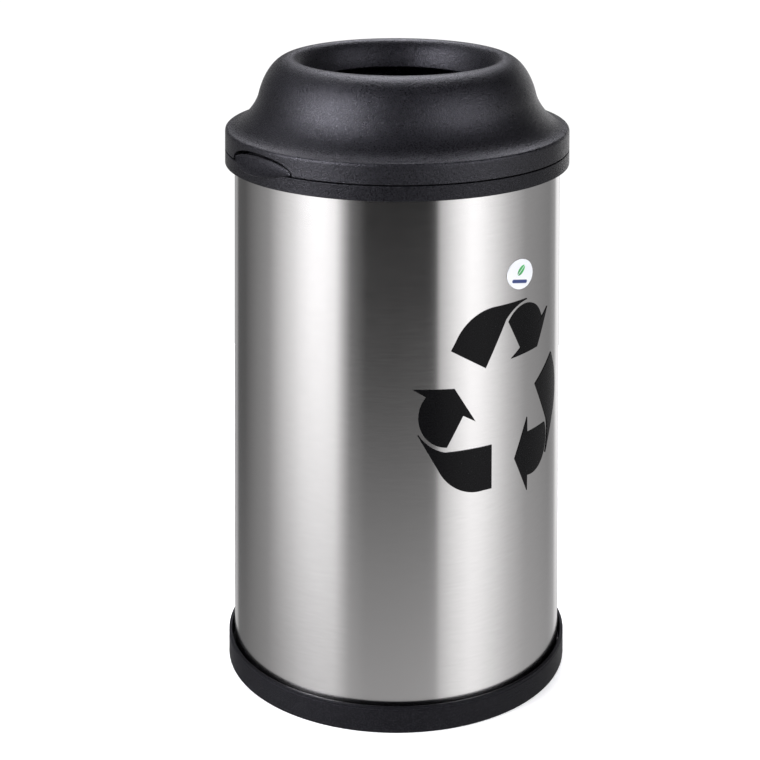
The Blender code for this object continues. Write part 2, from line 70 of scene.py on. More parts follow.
# Heights and radii that come with the frame
TUBE_RADIUS = highest("steel_tube").x
TUBE_TOP = highest("steel_tube").z
TUBE_BOTTOM = lowest("steel_tube").z
COLLAR_RADIUS = highest("top_collar").x
COLLAR_TOP = highest("top_collar").z
COLLAR_LEG_BOTTOM = lowest("top_collar").z
BASE_RADIUS = highest("base_ring").x
BASE_TOP = highest("base_ring").z
BASE_BOTTOM = lowest("base_ring").z
LID_RADIUS = highest("lid").y
LID_TOP = highest("lid").z
PLATE_RADIUS = highest("bottom_plate").x
PLATE_BOTTOM = lowest("bottom_plate").z
PLATE_TOP = highest("bottom_plate").z
LINER_BOTTOM = lowest("liner_bucket").z
LINER_TOP = highest("liner_bucket").z
LINER_RIM_RADIUS = highest("liner_bucket").x

GAP = 0.0003
TUBE_WALL = 0.0008
SEAM_DIP = 0.00012
COLLAR_WALL = 0.0028
COLLAR_BOTTOM = 0.5757
COLLAR_BORE = 0.1850
BASE_WALL = 0.0037
BASE_WEB = (0.0045, 0.0085)
BASE_WEB_RADIUS = 0.1600
BASE_FENCE_TOP = 0.0200
PLATE_THICKNESS = 0.0015
PLATE_RISE_RADIUS = 0.1500
LID_WALL = 0.0028
LID_BOTTOM = 0.5935
SHOULDER = (0.1960, 0.6166)
SKIRT_TOP = 0.6120
WAIST = (0.1617, 0.6529)
CREST = (0.1250, LID_TOP)
THROAT = (0.1000, 0.6660)
REST_RIB = (0.1900, 0.1875)
GUIDE_RIB = (0.1842, 0.1815)
GUIDE_RIB_BOTTOM = 0.5840
ARCH_HALF_ANGLE = math.radians(16.2)
ARCH_HEIGHT = 0.0170
SCOOP_HALF_ANGLE = math.radians(15.2)
SCOOP_SHARE = 0.65
SCOOP_WALL = 0.0022
SCOOP_SIDE_RADIUS = 0.1985
SCOOP_DEPTH = 0.0048
SCOOP_END_RADIUS = 0.1990
SCOOP_LIP = 0.0090
LINER_WALL = 0.0015
LINER_FOOT_RADIUS = 0.1650
LINER_RADIUS = 0.1760
LINER_BAND_BOTTOM = 0.5300
LINER_ROLL = 0.0037
SWAGE_HEIGHTS = (0.1500, 0.3300, 0.4900)
SWAGE_WIDTH = 0.0040
HANDLE_X = 0.1570
HANDLE_Z = 0.5600
HANDLE_HALF_WIDTH = 0.0400
HANDLE_DROP = 0.0450
WIRE_RADIUS = 0.0025
WIRE_END = 0.0520
GRIP_RADIUS = 0.0060
GRIP_LENGTH = 0.0560
RIVET_ANGLES = (45, 135, 225, 315)
COLLAR_RIVET_HEIGHT = 0.5785
BASE_RIVET_HEIGHT = 0.0148
RIVET_SHANK, RIVET_HEAD, RIVET_TAIL = 0.0020, 0.0032, 0.0040
SCREW_COUNT = 6
SCREW_CIRCLE = 0.1765
SCREW_SHANK, SCREW_HEAD, SCREW_SOCKET = 0.0020, 0.0045, 0.0019
SCREW_TOP = 0.0155
SCREW_HEAD_HEIGHT, SOCKET_DEPTH = 0.0030, 0.0018
PAD_COUNT = 6
PAD_CIRCLE = 0.1760
PAD_RADIUS = 0.0100
TREAD_DEPTH = 0.0007
SIGN_HEIGHT = 0.3450
FILM = 0.0003
BAND_INNER, BAND_OUTER = 0.0450, 0.0930
BARB = 0.0170
LABEL_HEIGHT = 0.4790
LABEL_AZIMUTH = math.radians(6.5)
LABEL_TURN = math.radians(-11)
WELD = 2e-6


# ---------------------------------------------------------------- surfaces


def skin(name, points, around=False, along=False, chart=None):
    """A mesh over points[row, column]. Neighbouring rows and columns are joined by quads;
    around joins the last column to the first, and along the last row to the first. Points
    that coincide become one, so a row at a pole closes to a fan."""
    index = np.arange(points.shape[0] * points.shape[1]).reshape(points.shape[:2])
    if along:
        index = np.concatenate([index, index[:1]])
    if around:
        index = np.concatenate([index, index[:, :1]], 1)
    quads = np.stack([index[:-1, :-1], index[:-1, 1:], index[1:, 1:], index[1:, :-1]], -1)
    mesh = bpy.data.meshes.new(name)
    mesh.vertices.add(points.shape[0] * points.shape[1])
    mesh.vertices.foreach_set("co", points.astype(np.float32).ravel())
    mesh.loops.add(quads.size)
    mesh.loops.foreach_set("vertex_index", quads.astype(np.int32).ravel())
    mesh.polygons.add(quads.size // 4)
    mesh.polygons.foreach_set("loop_start", np.arange(0, quads.size, 4, dtype=np.int32))
    mesh.update(calc_edges=True)
    if chart is not None:
        flat = mesh.attributes.new("chart", "FLOAT_VECTOR", "POINT")
        filled = np.zeros((*chart.shape[:2], 3), np.float32)
        filled[..., :2] = chart
        flat.data.foreach_set("vector", filled.ravel())
    work = bmesh.new()
    work.from_mesh(mesh)
    bmesh.ops.remove_doubles(work, verts=work.verts, dist=WELD)
    bmesh.ops.recalc_face_normals(work, faces=work.faces)
    work.to_mesh(mesh)
    work.free()
    mesh.shade_smooth()
    mesh.set_sharp_from_angle(angle=math.radians(38))
    return mesh


def bezier(start, lead, follow, end, count):
    """Cubic curve: the four corners weighted by (1-t)^3, 3(1-t)^2 t, 3(1-t) t^2 and t^3."""
    t = np.linspace(0, 1, count)[:, None]
    corners = [np.array(p, float) for p in (start, lead, follow, end)]
    weights = ((1 - t) ** 3, 3 * (1 - t) ** 2 * t, 3 * (1 - t) * t * t, t**3)
    return sum(w * c for w, c in zip(weights, corners))


def eased(corners, radii, closed=True, steps=5):
    """A path of straight runs whose corners are turned on quadratic curves. Each curve
    starts and ends one radius from its corner, or 0.45 of a run that is shorter. Points
    near the ends of a run keep its shading flat."""
    c = np.array(corners, float)
    r = np.broadcast_to(np.array(radii, float), (len(c),))[:, None]
    back, ahead = np.roll(c, 1, 0) - c, np.roll(c, -1, 0) - c
    if not closed:
        back[0], ahead[-1] = 0, 0
    reach_back = np.minimum(r, 0.45 * np.linalg.norm(back, axis=1, keepdims=True))
    reach_ahead = np.minimum(r, 0.45 * np.linalg.norm(ahead, axis=1, keepdims=True))
    unit_back = back / np.maximum(np.linalg.norm(back, axis=1, keepdims=True), 1e-9)
    unit_ahead = ahead / np.maximum(np.linalg.norm(ahead, axis=1, keepdims=True), 1e-9)
    first, last = c + unit_back * reach_back, c + unit_ahead * reach_ahead
    t = np.linspace(0, 1, steps + 1)[None, :, None]
    bend = (1 - t) ** 2 * first[:, None] + 2 * t * (1 - t) * c[:, None] + t * t * last[:, None]
    share = np.array([0.03, 0.20, 0.50, 0.80, 0.97])[None, :, None]
    run = last[:, None] + share * (np.roll(first, -1, 0) - last)[:, None]
    path = np.concatenate([bend, run], 1).reshape(-1, 2)
    return path if closed else path[: -share.size]


def beside(path, distance):
    """A path moved to its right: each point goes distance along the tangent turned by -90."""
    along = np.gradient(path, axis=0)
    along /= np.linalg.norm(along, axis=1, keepdims=True)
    return path + distance * np.stack([along[:, 1], -along[:, 0]], 1)


def revolved(profile, azimuths):
    """(radius, height) turned about Z: (radius cos a, radius sin a, height) for each a."""
    r, z = profile[:, 0][:, None], profile[:, 1][:, None]
    a = azimuths[None, :]
    return np.stack([r * np.cos(a), r * np.sin(a), z + 0 * a], -1)


def full_turn(count):
    return np.linspace(0, 2 * math.pi, count, endpoint=False)


def laid(points, matrix):
    """Points carried by a 4 x 4 matrix: its turn times each point, plus its place."""
    m = np.array(matrix)
    return points @ m[:3, :3].T + m[:3, 3]


def slab(name, upper, lower):
    """A closed sheet from two matching grids. Across, it runs over the upper grid and back
    under the lower one; each end is closed on the line halfway between the two."""
    ends = [(upper[i] + lower[i]) / 2 for i in (0, -1)]
    body = np.concatenate([upper, lower[:, ::-1]], 1)
    first, last = (np.concatenate([e, e[::-1]])[None] for e in ends)
    return skin(name, np.concatenate([first, body, last]), around=True)


def swept(path, radius, sides):
    """A round wire along a path in the YZ plane: each ring is centre + radius (cos b across
    + sin b X), where across is the tangent turned by 90 degrees; the ends close on points."""
    along = np.gradient(path, axis=0)
    along /= np.linalg.norm(along, axis=1, keepdims=True)
    across = np.stack([0 * along[:, 0], -along[:, 2], along[:, 1]], 1)
    b = full_turn(sides)[None, :, None]
    ease = np.array([0.0, 0.75, 1.0])[:, None, None]
    rings = path[:, None] + radius * (
        np.cos(b) * across[:, None] + np.sin(b) * np.array([1.0, 0, 0])
    )
    start = path[0] + ease * (rings[0] - path[0])
    end = path[-1] + ease[::-1] * (rings[-1] - path[-1])
    return np.concatenate([start, rings, end])


def place(name, mesh, finish, body, slot, *nodes):
    """Shows a mesh as a piece that rides on a body and stands for the named CAD nodes."""
    piece = bpy.data.objects.new(name, mesh)
    bpy.context.scene.collection.objects.link(piece)
    mesh.materials.append(finish)
    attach(piece, body)
    if nodes:
        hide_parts(*nodes)
    return piece


# ---------------------------------------------------------------- finishes


class Term:
    """A node's output that takes part in sums; every operation adds one Math node."""

    def __init__(self, nodes, socket):
        self.nodes, self.socket = nodes, socket

    def math(self, operation, *values):
        settings = {"operation": operation}
        return self.nodes.node("ShaderNodeMath", settings, dict(enumerate(values)))

    def __add__(self, other):
        return self.math("ADD", self, other)

    __radd__ = __add__

    def __mul__(self, other):
        return self.math("MULTIPLY", self, other)

    __rmul__ = __mul__

    def __sub__(self, other):
        return self.math("SUBTRACT", self, other)

    def __rsub__(self, other):
        return self.math("SUBTRACT", other, self)

    def __truediv__(self, other):
        return self.math("DIVIDE", self, other)

    def least(self, other):
        return self.math("MINIMUM", self, other)

    def most(self, other):
        return self.math("MAXIMUM", self, other)

    def root(self):
        return self.math("SQRT", self.most(0.0))

    def size(self):
        return self.math("ABSOLUTE", self)

    def within(self, edge, blur):
        """1 below the edge and 0 above it, with a linear change over blur."""
        return ((edge - self) / blur + 0.5).most(0.0).least(1.0)


class Nodes:
    """A node tree, filled by one call for each node."""

    def __init__(self, tree):
        self.tree = tree

    def node(self, kind, settings=(), inputs=(), output=0):
        made = self.tree.nodes.new(kind)
        for key, value in dict(settings).items():
            if key == "stops":
                stops = made.color_ramp.elements
                while len(stops) < len(value):
                    stops.new(0.5)
                for stop, (spot, shade) in zip(stops, value):
                    stop.position, stop.color = spot, (*shade, 1)
            else:
                setattr(made, key, value)
        for key, value in dict(inputs).items():
            if isinstance(value, Term):
                self.tree.links.new(value.socket, made.inputs[key])
            else:
                made.inputs[key].default_value = value
        return Term(self, made.outputs[output])

    def mix(self, factor, low, high):
        low, high = ((*c, 1) if isinstance(c, tuple) else c for c in (low, high))
        settings = {"data_type": "RGBA"}
        return self.node("ShaderNodeMix", settings, {0: factor, 6: low, 7: high}, 2)


class Finish(Nodes):
    """A material with one Principled shader, whose fixed values are set on its sockets."""

    def __init__(self, name, **values):
        self.material = bpy.data.materials.new(name)
        self.material.use_nodes = True
        super().__init__(self.material.node_tree)
        self.shader = self.tree.nodes["Principled BSDF"]
        for key, value in values.items():
            self.set(key.replace("_", " "), value)

    def set(self, key, value):
        socket = self.shader.inputs[key]
        if isinstance(value, Term):
            self.tree.links.new(value.socket, socket)
        else:
            socket.default_value = (*value, 1) if isinstance(value, tuple) else value

    def place(self, stretch=(1, 1, 1)):
        """Object coordinates in metres, stretched along each axis."""
        where = self.node("ShaderNodeTexCoord", output="Object")
        return self.node("ShaderNodeMapping", inputs={"Vector": where, "Scale": stretch})

    def chart(self):
        """The two flat coordinates that the label is drawn on, in metres."""
        flat = self.node("ShaderNodeAttribute", {"attribute_name": "chart"}, output="Vector")
        split = {"Vector": flat}
        return [self.node("ShaderNodeSeparateXYZ", inputs=split, output=i) for i in (0, 1)]

    def noise(self, where, scale, detail=2.0, roughness=0.5):
        values = {"Vector": where, "Scale": scale, "Detail": detail, "Roughness": roughness}
        return self.node("ShaderNodeTexNoise", inputs=values)

    def cells(self, where, scale, output="Distance"):
        values = {"Vector": where, "Scale": scale}
        return self.node("ShaderNodeTexVoronoi", inputs=values, output=output)

    def bump(self, height, depth, strength=1.0):
        values = {"Height": height, "Distance": depth, "Strength": strength}
        return self.node("ShaderNodeBump", inputs=values)


def grained_plastic(name, colour, grain=0.0016, depth=0.0008, roughness=0.30, gloss=0.35):
    """Moulded plastic with a sand-blasted grain: two sizes of noise raise it, the finer one
    also mottles the colour and the gloss, and a broad cloud varies the gloss."""
    f = Finish(name, IOR=1.5, Specular_IOR_Level=gloss, Specular_Tint=(0.91, 0.90, 1.0))
    where = f.place()
    fine = f.noise(where, 1 / grain, 3.0, 0.65)
    broad = f.noise(where, 0.45 / grain, 2.0)
    cloud = f.noise(where, 14.0, 4.0, 0.6)
    pale = tuple(c * 2.0 + 0.006 for c in colour)
    f.set("Base Color", f.mix(((fine - 0.45) * 4).most(0.0).least(1.0), colour, pale))
    f.set("Roughness", roughness + (cloud - 0.5) * 0.10 + (fine - 0.5) * 0.45)
    f.set("Normal", f.bump(fine * 0.75 + broad * 0.45, depth))
    return f.material


def brushed_steel(name, colour):
    """Sheet steel brushed round its girth: noise squeezed flat in height gives long hairlines
    and short wider strokes, which shift colour and roughness and cut shallow scratches; a
    broad cloud varies the sheen. The gloss spreads up and down the sheet."""
    f = Finish(name, Metallic=1.0, Anisotropic=0.80, Anisotropic_Rotation=0.25)
    hair = f.noise(f.place((9, 9, 2600)), 1.0, 3.0, 0.7)
    band = f.noise(f.place((60, 60, 640)), 1.0, 3.0, 0.6)
    cloud = f.noise(f.place((1, 1, 0.6)), 9.0, 3.0, 0.55)
    dark = tuple(c * 0.92 for c in colour)
    pale = tuple(c * 1.08 for c in colour)
    f.set("Base Color", f.mix(hair * 0.4 + band * 0.6, dark, pale))
    f.set("Roughness", 0.125 + hair * 0.05 + band * 0.03 + (cloud - 0.5) * 0.03)
    f.set("Normal", f.bump(hair * 0.6 + band * 0.4, 0.00001, 0.20))
    return f.material


def zinc_spangle(name, colour):
    """Hot-dip zinc: cells of frozen crystal, each with its own shade and gloss, feathered
    by a finer noise and dulled in clouds."""
    f = Finish(name, Metallic=1.0)
    where = f.place((1, 1, 0.8))
    crystal = f.cells(where, 95.0, "Color")
    shade = f.node("ShaderNodeSeparateColor", inputs={"Color": crystal})
    feather = f.noise(where, 520.0, 3.0)
    cloud = f.noise(where, 11.0, 4.0)
    dark = tuple(c * 0.72 for c in colour)
    f.set("Base Color", f.mix(shade * 0.75 + feather * 0.25, dark, colour))
    f.set("Roughness", 0.30 + shade * 0.16 + (cloud - 0.5) * 0.2)
    f.set("Normal", f.bump(shade * 0.7 + feather * 0.3, 0.00004, 0.4))
    return f.material


def rolled_steel(name, colour):
    """Cold-rolled plate: faint straight mill lines, oil clouds and small pits."""
    f = Finish(name, Metallic=1.0)
    lines = f.noise(f.place((1500, 12, 12)), 1.0, 2.0)
    cloud = f.noise(f.place(), 18.0, 4.0)
    pits = f.cells(f.place(), 700.0)
    dark = tuple(c * 0.6 for c in colour)
    f.set("Base Color", f.mix(cloud * 0.7 + lines * 0.3, dark, colour))
    f.set("Roughness", 0.34 + cloud * 0.18 + lines * 0.06)
    f.set("Normal", f.bump(lines * 0.5 + pits * 0.5, 0.00003, 0.4))
    return f.material


def plated_metal(name, colour, roughness=0.26):
    """Bright plating on turned or drawn metal: fine noise in its shade, gloss and skin."""
    f = Finish(name, Metallic=1.0)
    speck = f.noise(f.place(), 1800.0, 3.0)
    cloud = f.noise(f.place(), 90.0, 3.0)
    dark = tuple(c * 0.7 for c in colour)
    f.set("Base Color", f.mix(cloud * 0.6 + speck * 0.4, dark, colour))
    f.set("Roughness", roughness + speck * 0.12 + (cloud - 0.5) * 0.12)
    f.set("Normal", f.bump(speck, 0.00003, 0.35))
    return f.material


def foot_rubber(name, colour):
    """Matt rubber: crumbly bump, with dust that gathers in clouds."""
    f = Finish(name, IOR=1.45)
    crumb = f.noise(f.place(), 1500.0, 4.0, 0.7)
    dust = f.noise(f.place(), 120.0, 3.0)
    f.set("Base Color", f.mix((dust - 0.45).most(0.0) * 0.5, colour, (0.16, 0.15, 0.14)))
    f.set("Roughness", 0.72 + crumb * 0.2)
    f.set("Normal", f.bump(crumb, 0.00012, 0.7))
    return f.material


def vinyl_film(name, colour):
    """Cut vinyl: an orange-peel skin, a trace of the brushed sheet below, dust specks."""
    f = Finish(name, IOR=1.47, Specular_IOR_Level=0.10)
    peel = f.noise(f.place(), 420.0, 2.0)
    hair = f.noise(f.place((5, 5, 2600)), 1.0, 2.0)
    speck = f.noise(f.place(), 1300.0, 2.0)
    pale = tuple(c * 2.0 + 0.002 for c in colour)
    f.set("Base Color", f.mix((speck - 0.35).most(0.0) * 1.2, colour, pale))
    f.set("Roughness", 0.27 + (peel - 0.5) * 0.12 + (hair - 0.5) * 0.10)
    f.set("Normal", f.bump(peel * 0.6 + hair * 0.4, 0.000015, 0.25))
    return f.material


def printed_label(name, paper, leaf, bar):
    """An oval sticker with a plain print: an oval leaf, 0.52 as wide as it is long, with
    its midrib, above a bar with round ends. All sizes are in metres on the chart."""
    f = Finish(name, IOR=1.5, Coat_Weight=0.5, Coat_Roughness=0.08)
    x, y = f.chart()
    lean, leaf_y, leaf_half = math.radians(48), 0.0042, 0.0072
    bar_half, bar_drop, bar_radius, blur = 0.0105, 0.0079, 0.0019, 0.0004
    across = (y - leaf_y) * math.cos(lean) - x * math.sin(lean)
    along = x * math.cos(lean) + (y - leaf_y) * math.sin(lean)
    half_width = (along * along * -1.0 + leaf_half**2).root() * 0.52
    blade = (across.size() - half_width).within(0.0, blur)
    rib = across.size().within(0.00035, 0.0003)
    bar_x, bar_y = (x.size() - bar_half).most(0.0), y + bar_drop
    strip = (bar_x * bar_x + bar_y * bar_y).root().within(bar_radius, blur)
    fibre = f.noise(f.place(), 900.0, 3.0)
    sheet = f.mix(fibre, tuple(c * 0.94 for c in paper), paper)
    deep = tuple(c * 0.45 for c in leaf)
    printed = f.mix(blade, sheet, f.mix(along * 60 + 0.5, deep, leaf))
    printed = f.mix(blade * rib, printed, sheet)
    f.set("Base Color", f.mix(strip, printed, bar))
    f.set("Roughness", 0.26 + fibre * 0.12)
    f.set("Normal", f.bump(fibre, 0.00002, 0.3))
    return f.material


# ---------------------------------------------------------------- settings


def length(name, description, default):
    return FloatProperty(name=name, description=description, default=default, unit="LENGTH")


def shade(name, description, default):
    return FloatVectorProperty(
        name=name, description=description, default=default, subtype="COLOR", size=3, min=0, max=1
    )


class BinSizes(bpy.types.PropertyGroup):
    """Sizes that a user would change."""

    turn_steps: IntProperty(
        name="Turn steps", description="Columns round a large part", default=288, min=48
    )
    bead_depth: length("Bead groove", "Depth of the groove under the base lip", 0.0005)
    seam_width: length("Weld seam", "Width of the tube's ground weld seam", 0.0040)
    swage_depth: length("Bucket swage", "Depth of the rings pressed into the bucket", 0.0012)
    label_half_width: length("Label half width", "Half the label's width", 0.0215)
    label_half_height: length("Label half height", "Half the label's height", 0.0165)


class BinColours(bpy.types.PropertyGroup):
    """Colours that a user would change."""

    lid: shade("Lid", "Lid plastic", (0.0036, 0.0036, 0.0046))
    ring: shade("Rings", "Collar and base plastic", (0.0034, 0.0034, 0.0043))
    steel: shade("Steel", "Brushed steel", (0.645, 0.637, 0.632))
    zinc: shade("Zinc", "Galvanised bucket", (0.56, 0.58, 0.60))
    plate: shade("Plate", "Rolled steel plate", (0.42, 0.42, 0.43))
    wire: shade("Wire", "Plated handle wire", (0.62, 0.62, 0.64))
    film: shade("Film", "Sign vinyl", (0.0018, 0.0018, 0.0021))
    paper: shade("Label", "Label ground", (0.86, 0.88, 0.90))
    leaf: shade("Leaf", "Label leaf", (0.05, 0.52, 0.12))
    bar: shade("Bar", "Label bar", (0.012, 0.035, 0.16))
    rubber: shade("Rubber", "Foot pads", (0.018, 0.018, 0.019))
    floor: shade("Floor", "Studio floor", (0.86, 0.86, 0.86))


def sizes():
    return bpy.context.scene.bin_sizes


def colour(name):
    return tuple(getattr(bpy.context.scene.bin_colours, name))


# ---------------------------------------------------------------- parts


class MakeTube(bpy.types.Operator):
    """Brushed steel tube with a ground weld seam at the back"""

    bl_idname = "recycling_bin.tube"
    bl_label = "Steel tube"

    def execute(self, context):
        """The wall's section is a thin closed loop turned about Z. Outside, its radius dips by
        0.12 mm times exp(-(distance from the seam / half its width)^2)."""
        s = sizes()
        inside = TUBE_RADIUS - TUBE_WALL
        corners = [
            (TUBE_RADIUS, TUBE_TOP),
            (TUBE_RADIUS, TUBE_BOTTOM),
            (inside, TUBE_BOTTOM),
            (inside, TUBE_TOP),
        ]
        profile = eased(corners, 0.0002, steps=3)
        half = 3 * s.seam_width / TUBE_RADIUS
        middle = math.pi / 2 + np.linspace(-half, half, 25)
        rest = np.linspace(math.pi / 2 + half, math.pi * 5 / 2 - half, s.turn_steps)[1:-1]
        azimuths = np.concatenate([middle, rest])
        points = revolved(profile, azimuths)
        off = (azimuths - math.pi / 2) * TUBE_RADIUS / (s.seam_width / 2)
        dip = 1 - SEAM_DIP / TUBE_RADIUS * np.exp(-off * off)
        outer = (profile[:, 0] > TUBE_RADIUS - TUBE_WALL / 2)[:, None]
        points[..., :2] *= np.where(outer, dip[None], 1.0)[..., None]
        mesh = skin("steel_tube_sheet", points, around=True, along=True)
        finish = brushed_steel("brushed_steel_sheet", colour("steel"))
        place("tube_sheet", mesh, finish, "bin", "brushed_steel", "steel_tube")
        return {"FINISHED"}


class MakeCollar(bpy.types.Operator):
    """Plastic collar, a channel over the tube's upper edge"""

    bl_idname = "recycling_bin.collar"
    bl_label = "Top collar"

    def execute(self, context):
        """A closed section with two legs and a slot for the sheet, turned about Z."""
        web = COLLAR_TOP - COLLAR_WALL
        inner_leg, outer_leg = TUBE_RADIUS - TUBE_WALL - GAP, TUBE_RADIUS + GAP
        corners = [
            (COLLAR_RADIUS, COLLAR_TOP),
            (COLLAR_RADIUS, COLLAR_BOTTOM),
            (COLLAR_RADIUS - COLLAR_WALL, COLLAR_BOTTOM),
            (COLLAR_RADIUS - COLLAR_WALL, web),
            (outer_leg + COLLAR_WALL, web),
            (outer_leg + COLLAR_WALL, COLLAR_BOTTOM),
            (outer_leg, COLLAR_BOTTOM),
            (outer_leg, TUBE_TOP + GAP),
            (inner_leg, TUBE_TOP + GAP),
            (inner_leg, COLLAR_LEG_BOTTOM),
            (COLLAR_BORE, COLLAR_LEG_BOTTOM),
            (COLLAR_BORE, COLLAR_TOP),
        ]
        radii = [0.0006, 0.0006, 0.0004, 0.0006, 0.0006, 0.0004, 0.0003]
        radii += [0.0001, 0.0001, 0.0004, 0.0006, 0.0012]
        points = revolved(eased(corners, radii), full_turn(sizes().turn_steps))
        mesh = skin("top_collar_moulding", points, around=True, along=True)
        finish = grained_plastic("collar_plastic", colour("ring"), gloss=0.22)
        place("collar_moulding", mesh, finish, "bin", "ring_plastic", "top_collar")
        return {"FINISHED"}


class MakeBase(bpy.types.Operator):
    """Plastic base ring with a rounded lip and a groove below it"""

    bl_idname = "recycling_bin.base"
    bl_label = "Base ring"

    def execute(self, context):
        """A closed section with a lip bead, wall, web and inner fence, turned about Z."""
        fence = TUBE_RADIUS - TUBE_WALL - GAP
        inside, foot = BASE_RADIUS - BASE_WALL, BASE_RADIUS - 0.0030
        web_low, web_high = BASE_WEB
        groove, deep = BASE_TOP - 0.0032, BASE_RADIUS - sizes().bead_depth
        corners = [
            (BASE_RADIUS, BASE_TOP),
            (BASE_RADIUS, groove + 0.0005),
            (deep, groove),
            (BASE_RADIUS, groove - 0.0005),
            (BASE_RADIUS, BASE_BOTTOM),
            (foot, BASE_BOTTOM),
            (foot, web_low),
            (BASE_WEB_RADIUS, web_low),
            (BASE_WEB_RADIUS, web_high),
            (COLLAR_BORE, web_high),
            (COLLAR_BORE, BASE_FENCE_TOP),
            (fence, BASE_FENCE_TOP),
            (fence, web_high),
            (inside, web_high),
            (inside, BASE_TOP),
        ]
        radii = [0.0015, 0.0004, 0.0002, 0.0004, 0.0016, 0.0005, 0.0005, 0.0006, 0.0006]
        radii += [0.0005, 0.0005, 0.0005, 0.0004, 0.0004, 0.0011]
        points = revolved(eased(corners, radii), full_turn(sizes().turn_steps))
        mesh = skin("base_ring_moulding", points, around=True, along=True)
        finish = grained_plastic("base_plastic", colour("ring"), roughness=0.44, gloss=0.10)
        place("base_moulding", mesh, finish, "bin", "ring_plastic", "base_ring")
        return {"FINISHED"}


class MakePlate(bpy.types.Operator):
    """Dished bottom plate"""

    bl_idname = "recycling_bin.plate"
    bl_label = "Bottom plate"

    def execute(self, context):
        """A section from the axis out to the rim and back below, turned about Z."""
        top, step = PLATE_BOTTOM + PLATE_THICKNESS, PLATE_RISE_RADIUS
        under = PLATE_TOP - PLATE_THICKNESS
        corners = [
            (0, PLATE_TOP),
            (step, PLATE_TOP),
            (step + 0.0030, top),
            (PLATE_RADIUS, top),
            (PLATE_RADIUS, PLATE_BOTTOM),
            (step + 0.0018, PLATE_BOTTOM),
            (step - 0.0012, under),
            (0, under),
        ]
        profile = eased(corners, [0, 0.0015, 0.0015, 0.0005, 0.0005, 0.001, 0.001, 0], False)
        mesh = skin("plate_pressing", revolved(profile, full_turn(160)), around=True)
        finish = rolled_steel("rolled_steel_plate", colour("plate"))
        place("plate_pressing", mesh, finish, "bin", "plate_steel", "bottom_plate")
        return {"FINISHED"}


class MakeFasteners(bpy.types.Operator):
    """Eight blind rivets through the tube, and six socket screws from below"""

    bl_idname = "recycling_bin.fasteners"
    bl_label = "Rivets and screws"

    def execute(self, context):
        """Each is a section from axis to axis, turned about its own axis. The screw's socket
        is hexagonal: radius times cos 30 / cos(a mod 60 - 30)."""
        finish = plated_metal("fastener_plating", (0.60, 0.60, 0.61))
        fit = math.cos(math.pi / 60)
        for prefix, height, end in (
            ("collar", COLLAR_RIVET_HEIGHT, TUBE_RADIUS + GAP + COLLAR_WALL),
            ("base", BASE_RIVET_HEIGHT, TUBE_RADIUS),
        ):
            start, end = COLLAR_BORE * fit - GAP, end * fit + GAP
            corners = [
                (0, end + 0.0012),
                (RIVET_HEAD - 0.0005, end + 0.0010),
                (RIVET_HEAD, end),
                (RIVET_SHANK, end),
                (RIVET_SHANK, start),
                (RIVET_TAIL, start),
                (RIVET_TAIL - 0.0006, start - 0.0010),
                (0.0011, start - 0.0012),
                (0.0009, start - 0.0004),
                (0, start - 0.0004),
            ]
            radii = [0, 0.0006, 0.0003, 0.0001, 0.0001, 0.0003, 0.0008, 0.0002, 0.0001, 0]
            points = revolved(eased(corners, radii, False), full_turn(28))
            for number, angle in enumerate(RIVET_ANGLES, 1):
                turn = Matrix.Rotation(math.radians(angle), 4, "Z")
                stand = turn @ Matrix.Rotation(math.pi / 2, 4, "Y")
                matrix = Matrix.Translation((0, 0, height)) @ stand
                name = f"{prefix}_rivet_{number}"
                mesh = skin(name + "_body", laid(points, matrix), around=True)
                place(name + "_body", mesh, finish, "bin", "fastener_steel", name)
        head = BASE_WEB[0] - GAP
        face, floor = head - SCREW_HEAD_HEIGHT, head - SCREW_HEAD_HEIGHT + SOCKET_DEPTH
        corners = [
            (0, SCREW_TOP),
            (SCREW_SHANK - 0.0012, SCREW_TOP),
            (SCREW_SHANK, SCREW_TOP - 0.0020),
            (SCREW_SHANK, head),
            (SCREW_HEAD, head),
            (SCREW_HEAD, head - 0.0014),
            (SCREW_HEAD - 0.0011, face),
            (SCREW_SOCKET, face),
            (SCREW_SOCKET, floor),
            (0, floor),
        ]
        radii = [0, 0.0003, 0.0004, 0.0001, 0.0003, 0.0010, 0.0006, 0.0001, 0.0001, 0]
        profile = eased(corners, radii, False)
        azimuths = full_turn(48)
        points = revolved(profile, azimuths)
        hexagon = math.cos(math.pi / 6) / np.cos(azimuths % (math.pi / 3) - math.pi / 6)
        socket = (profile[:, 0] < SCREW_SOCKET + 0.00005) & (profile[:, 1] < floor + 0.0001)
        points[..., :2] *= np.where(socket[:, None], hexagon[None], 1.0)[..., None]
        for i in range(SCREW_COUNT):
            turn = Matrix.Rotation(i * 2 * math.pi / SCREW_COUNT, 4, "Z")
            spot = turn @ Matrix.Translation((SCREW_CIRCLE, 0, 0))
            name = f"base_screw_{i + 1}"
            mesh = skin(name + "_body", laid(points, spot), around=True)
            place(name + "_body", mesh, finish, "bin", "fastener_steel", name)
        return {"FINISHED"}


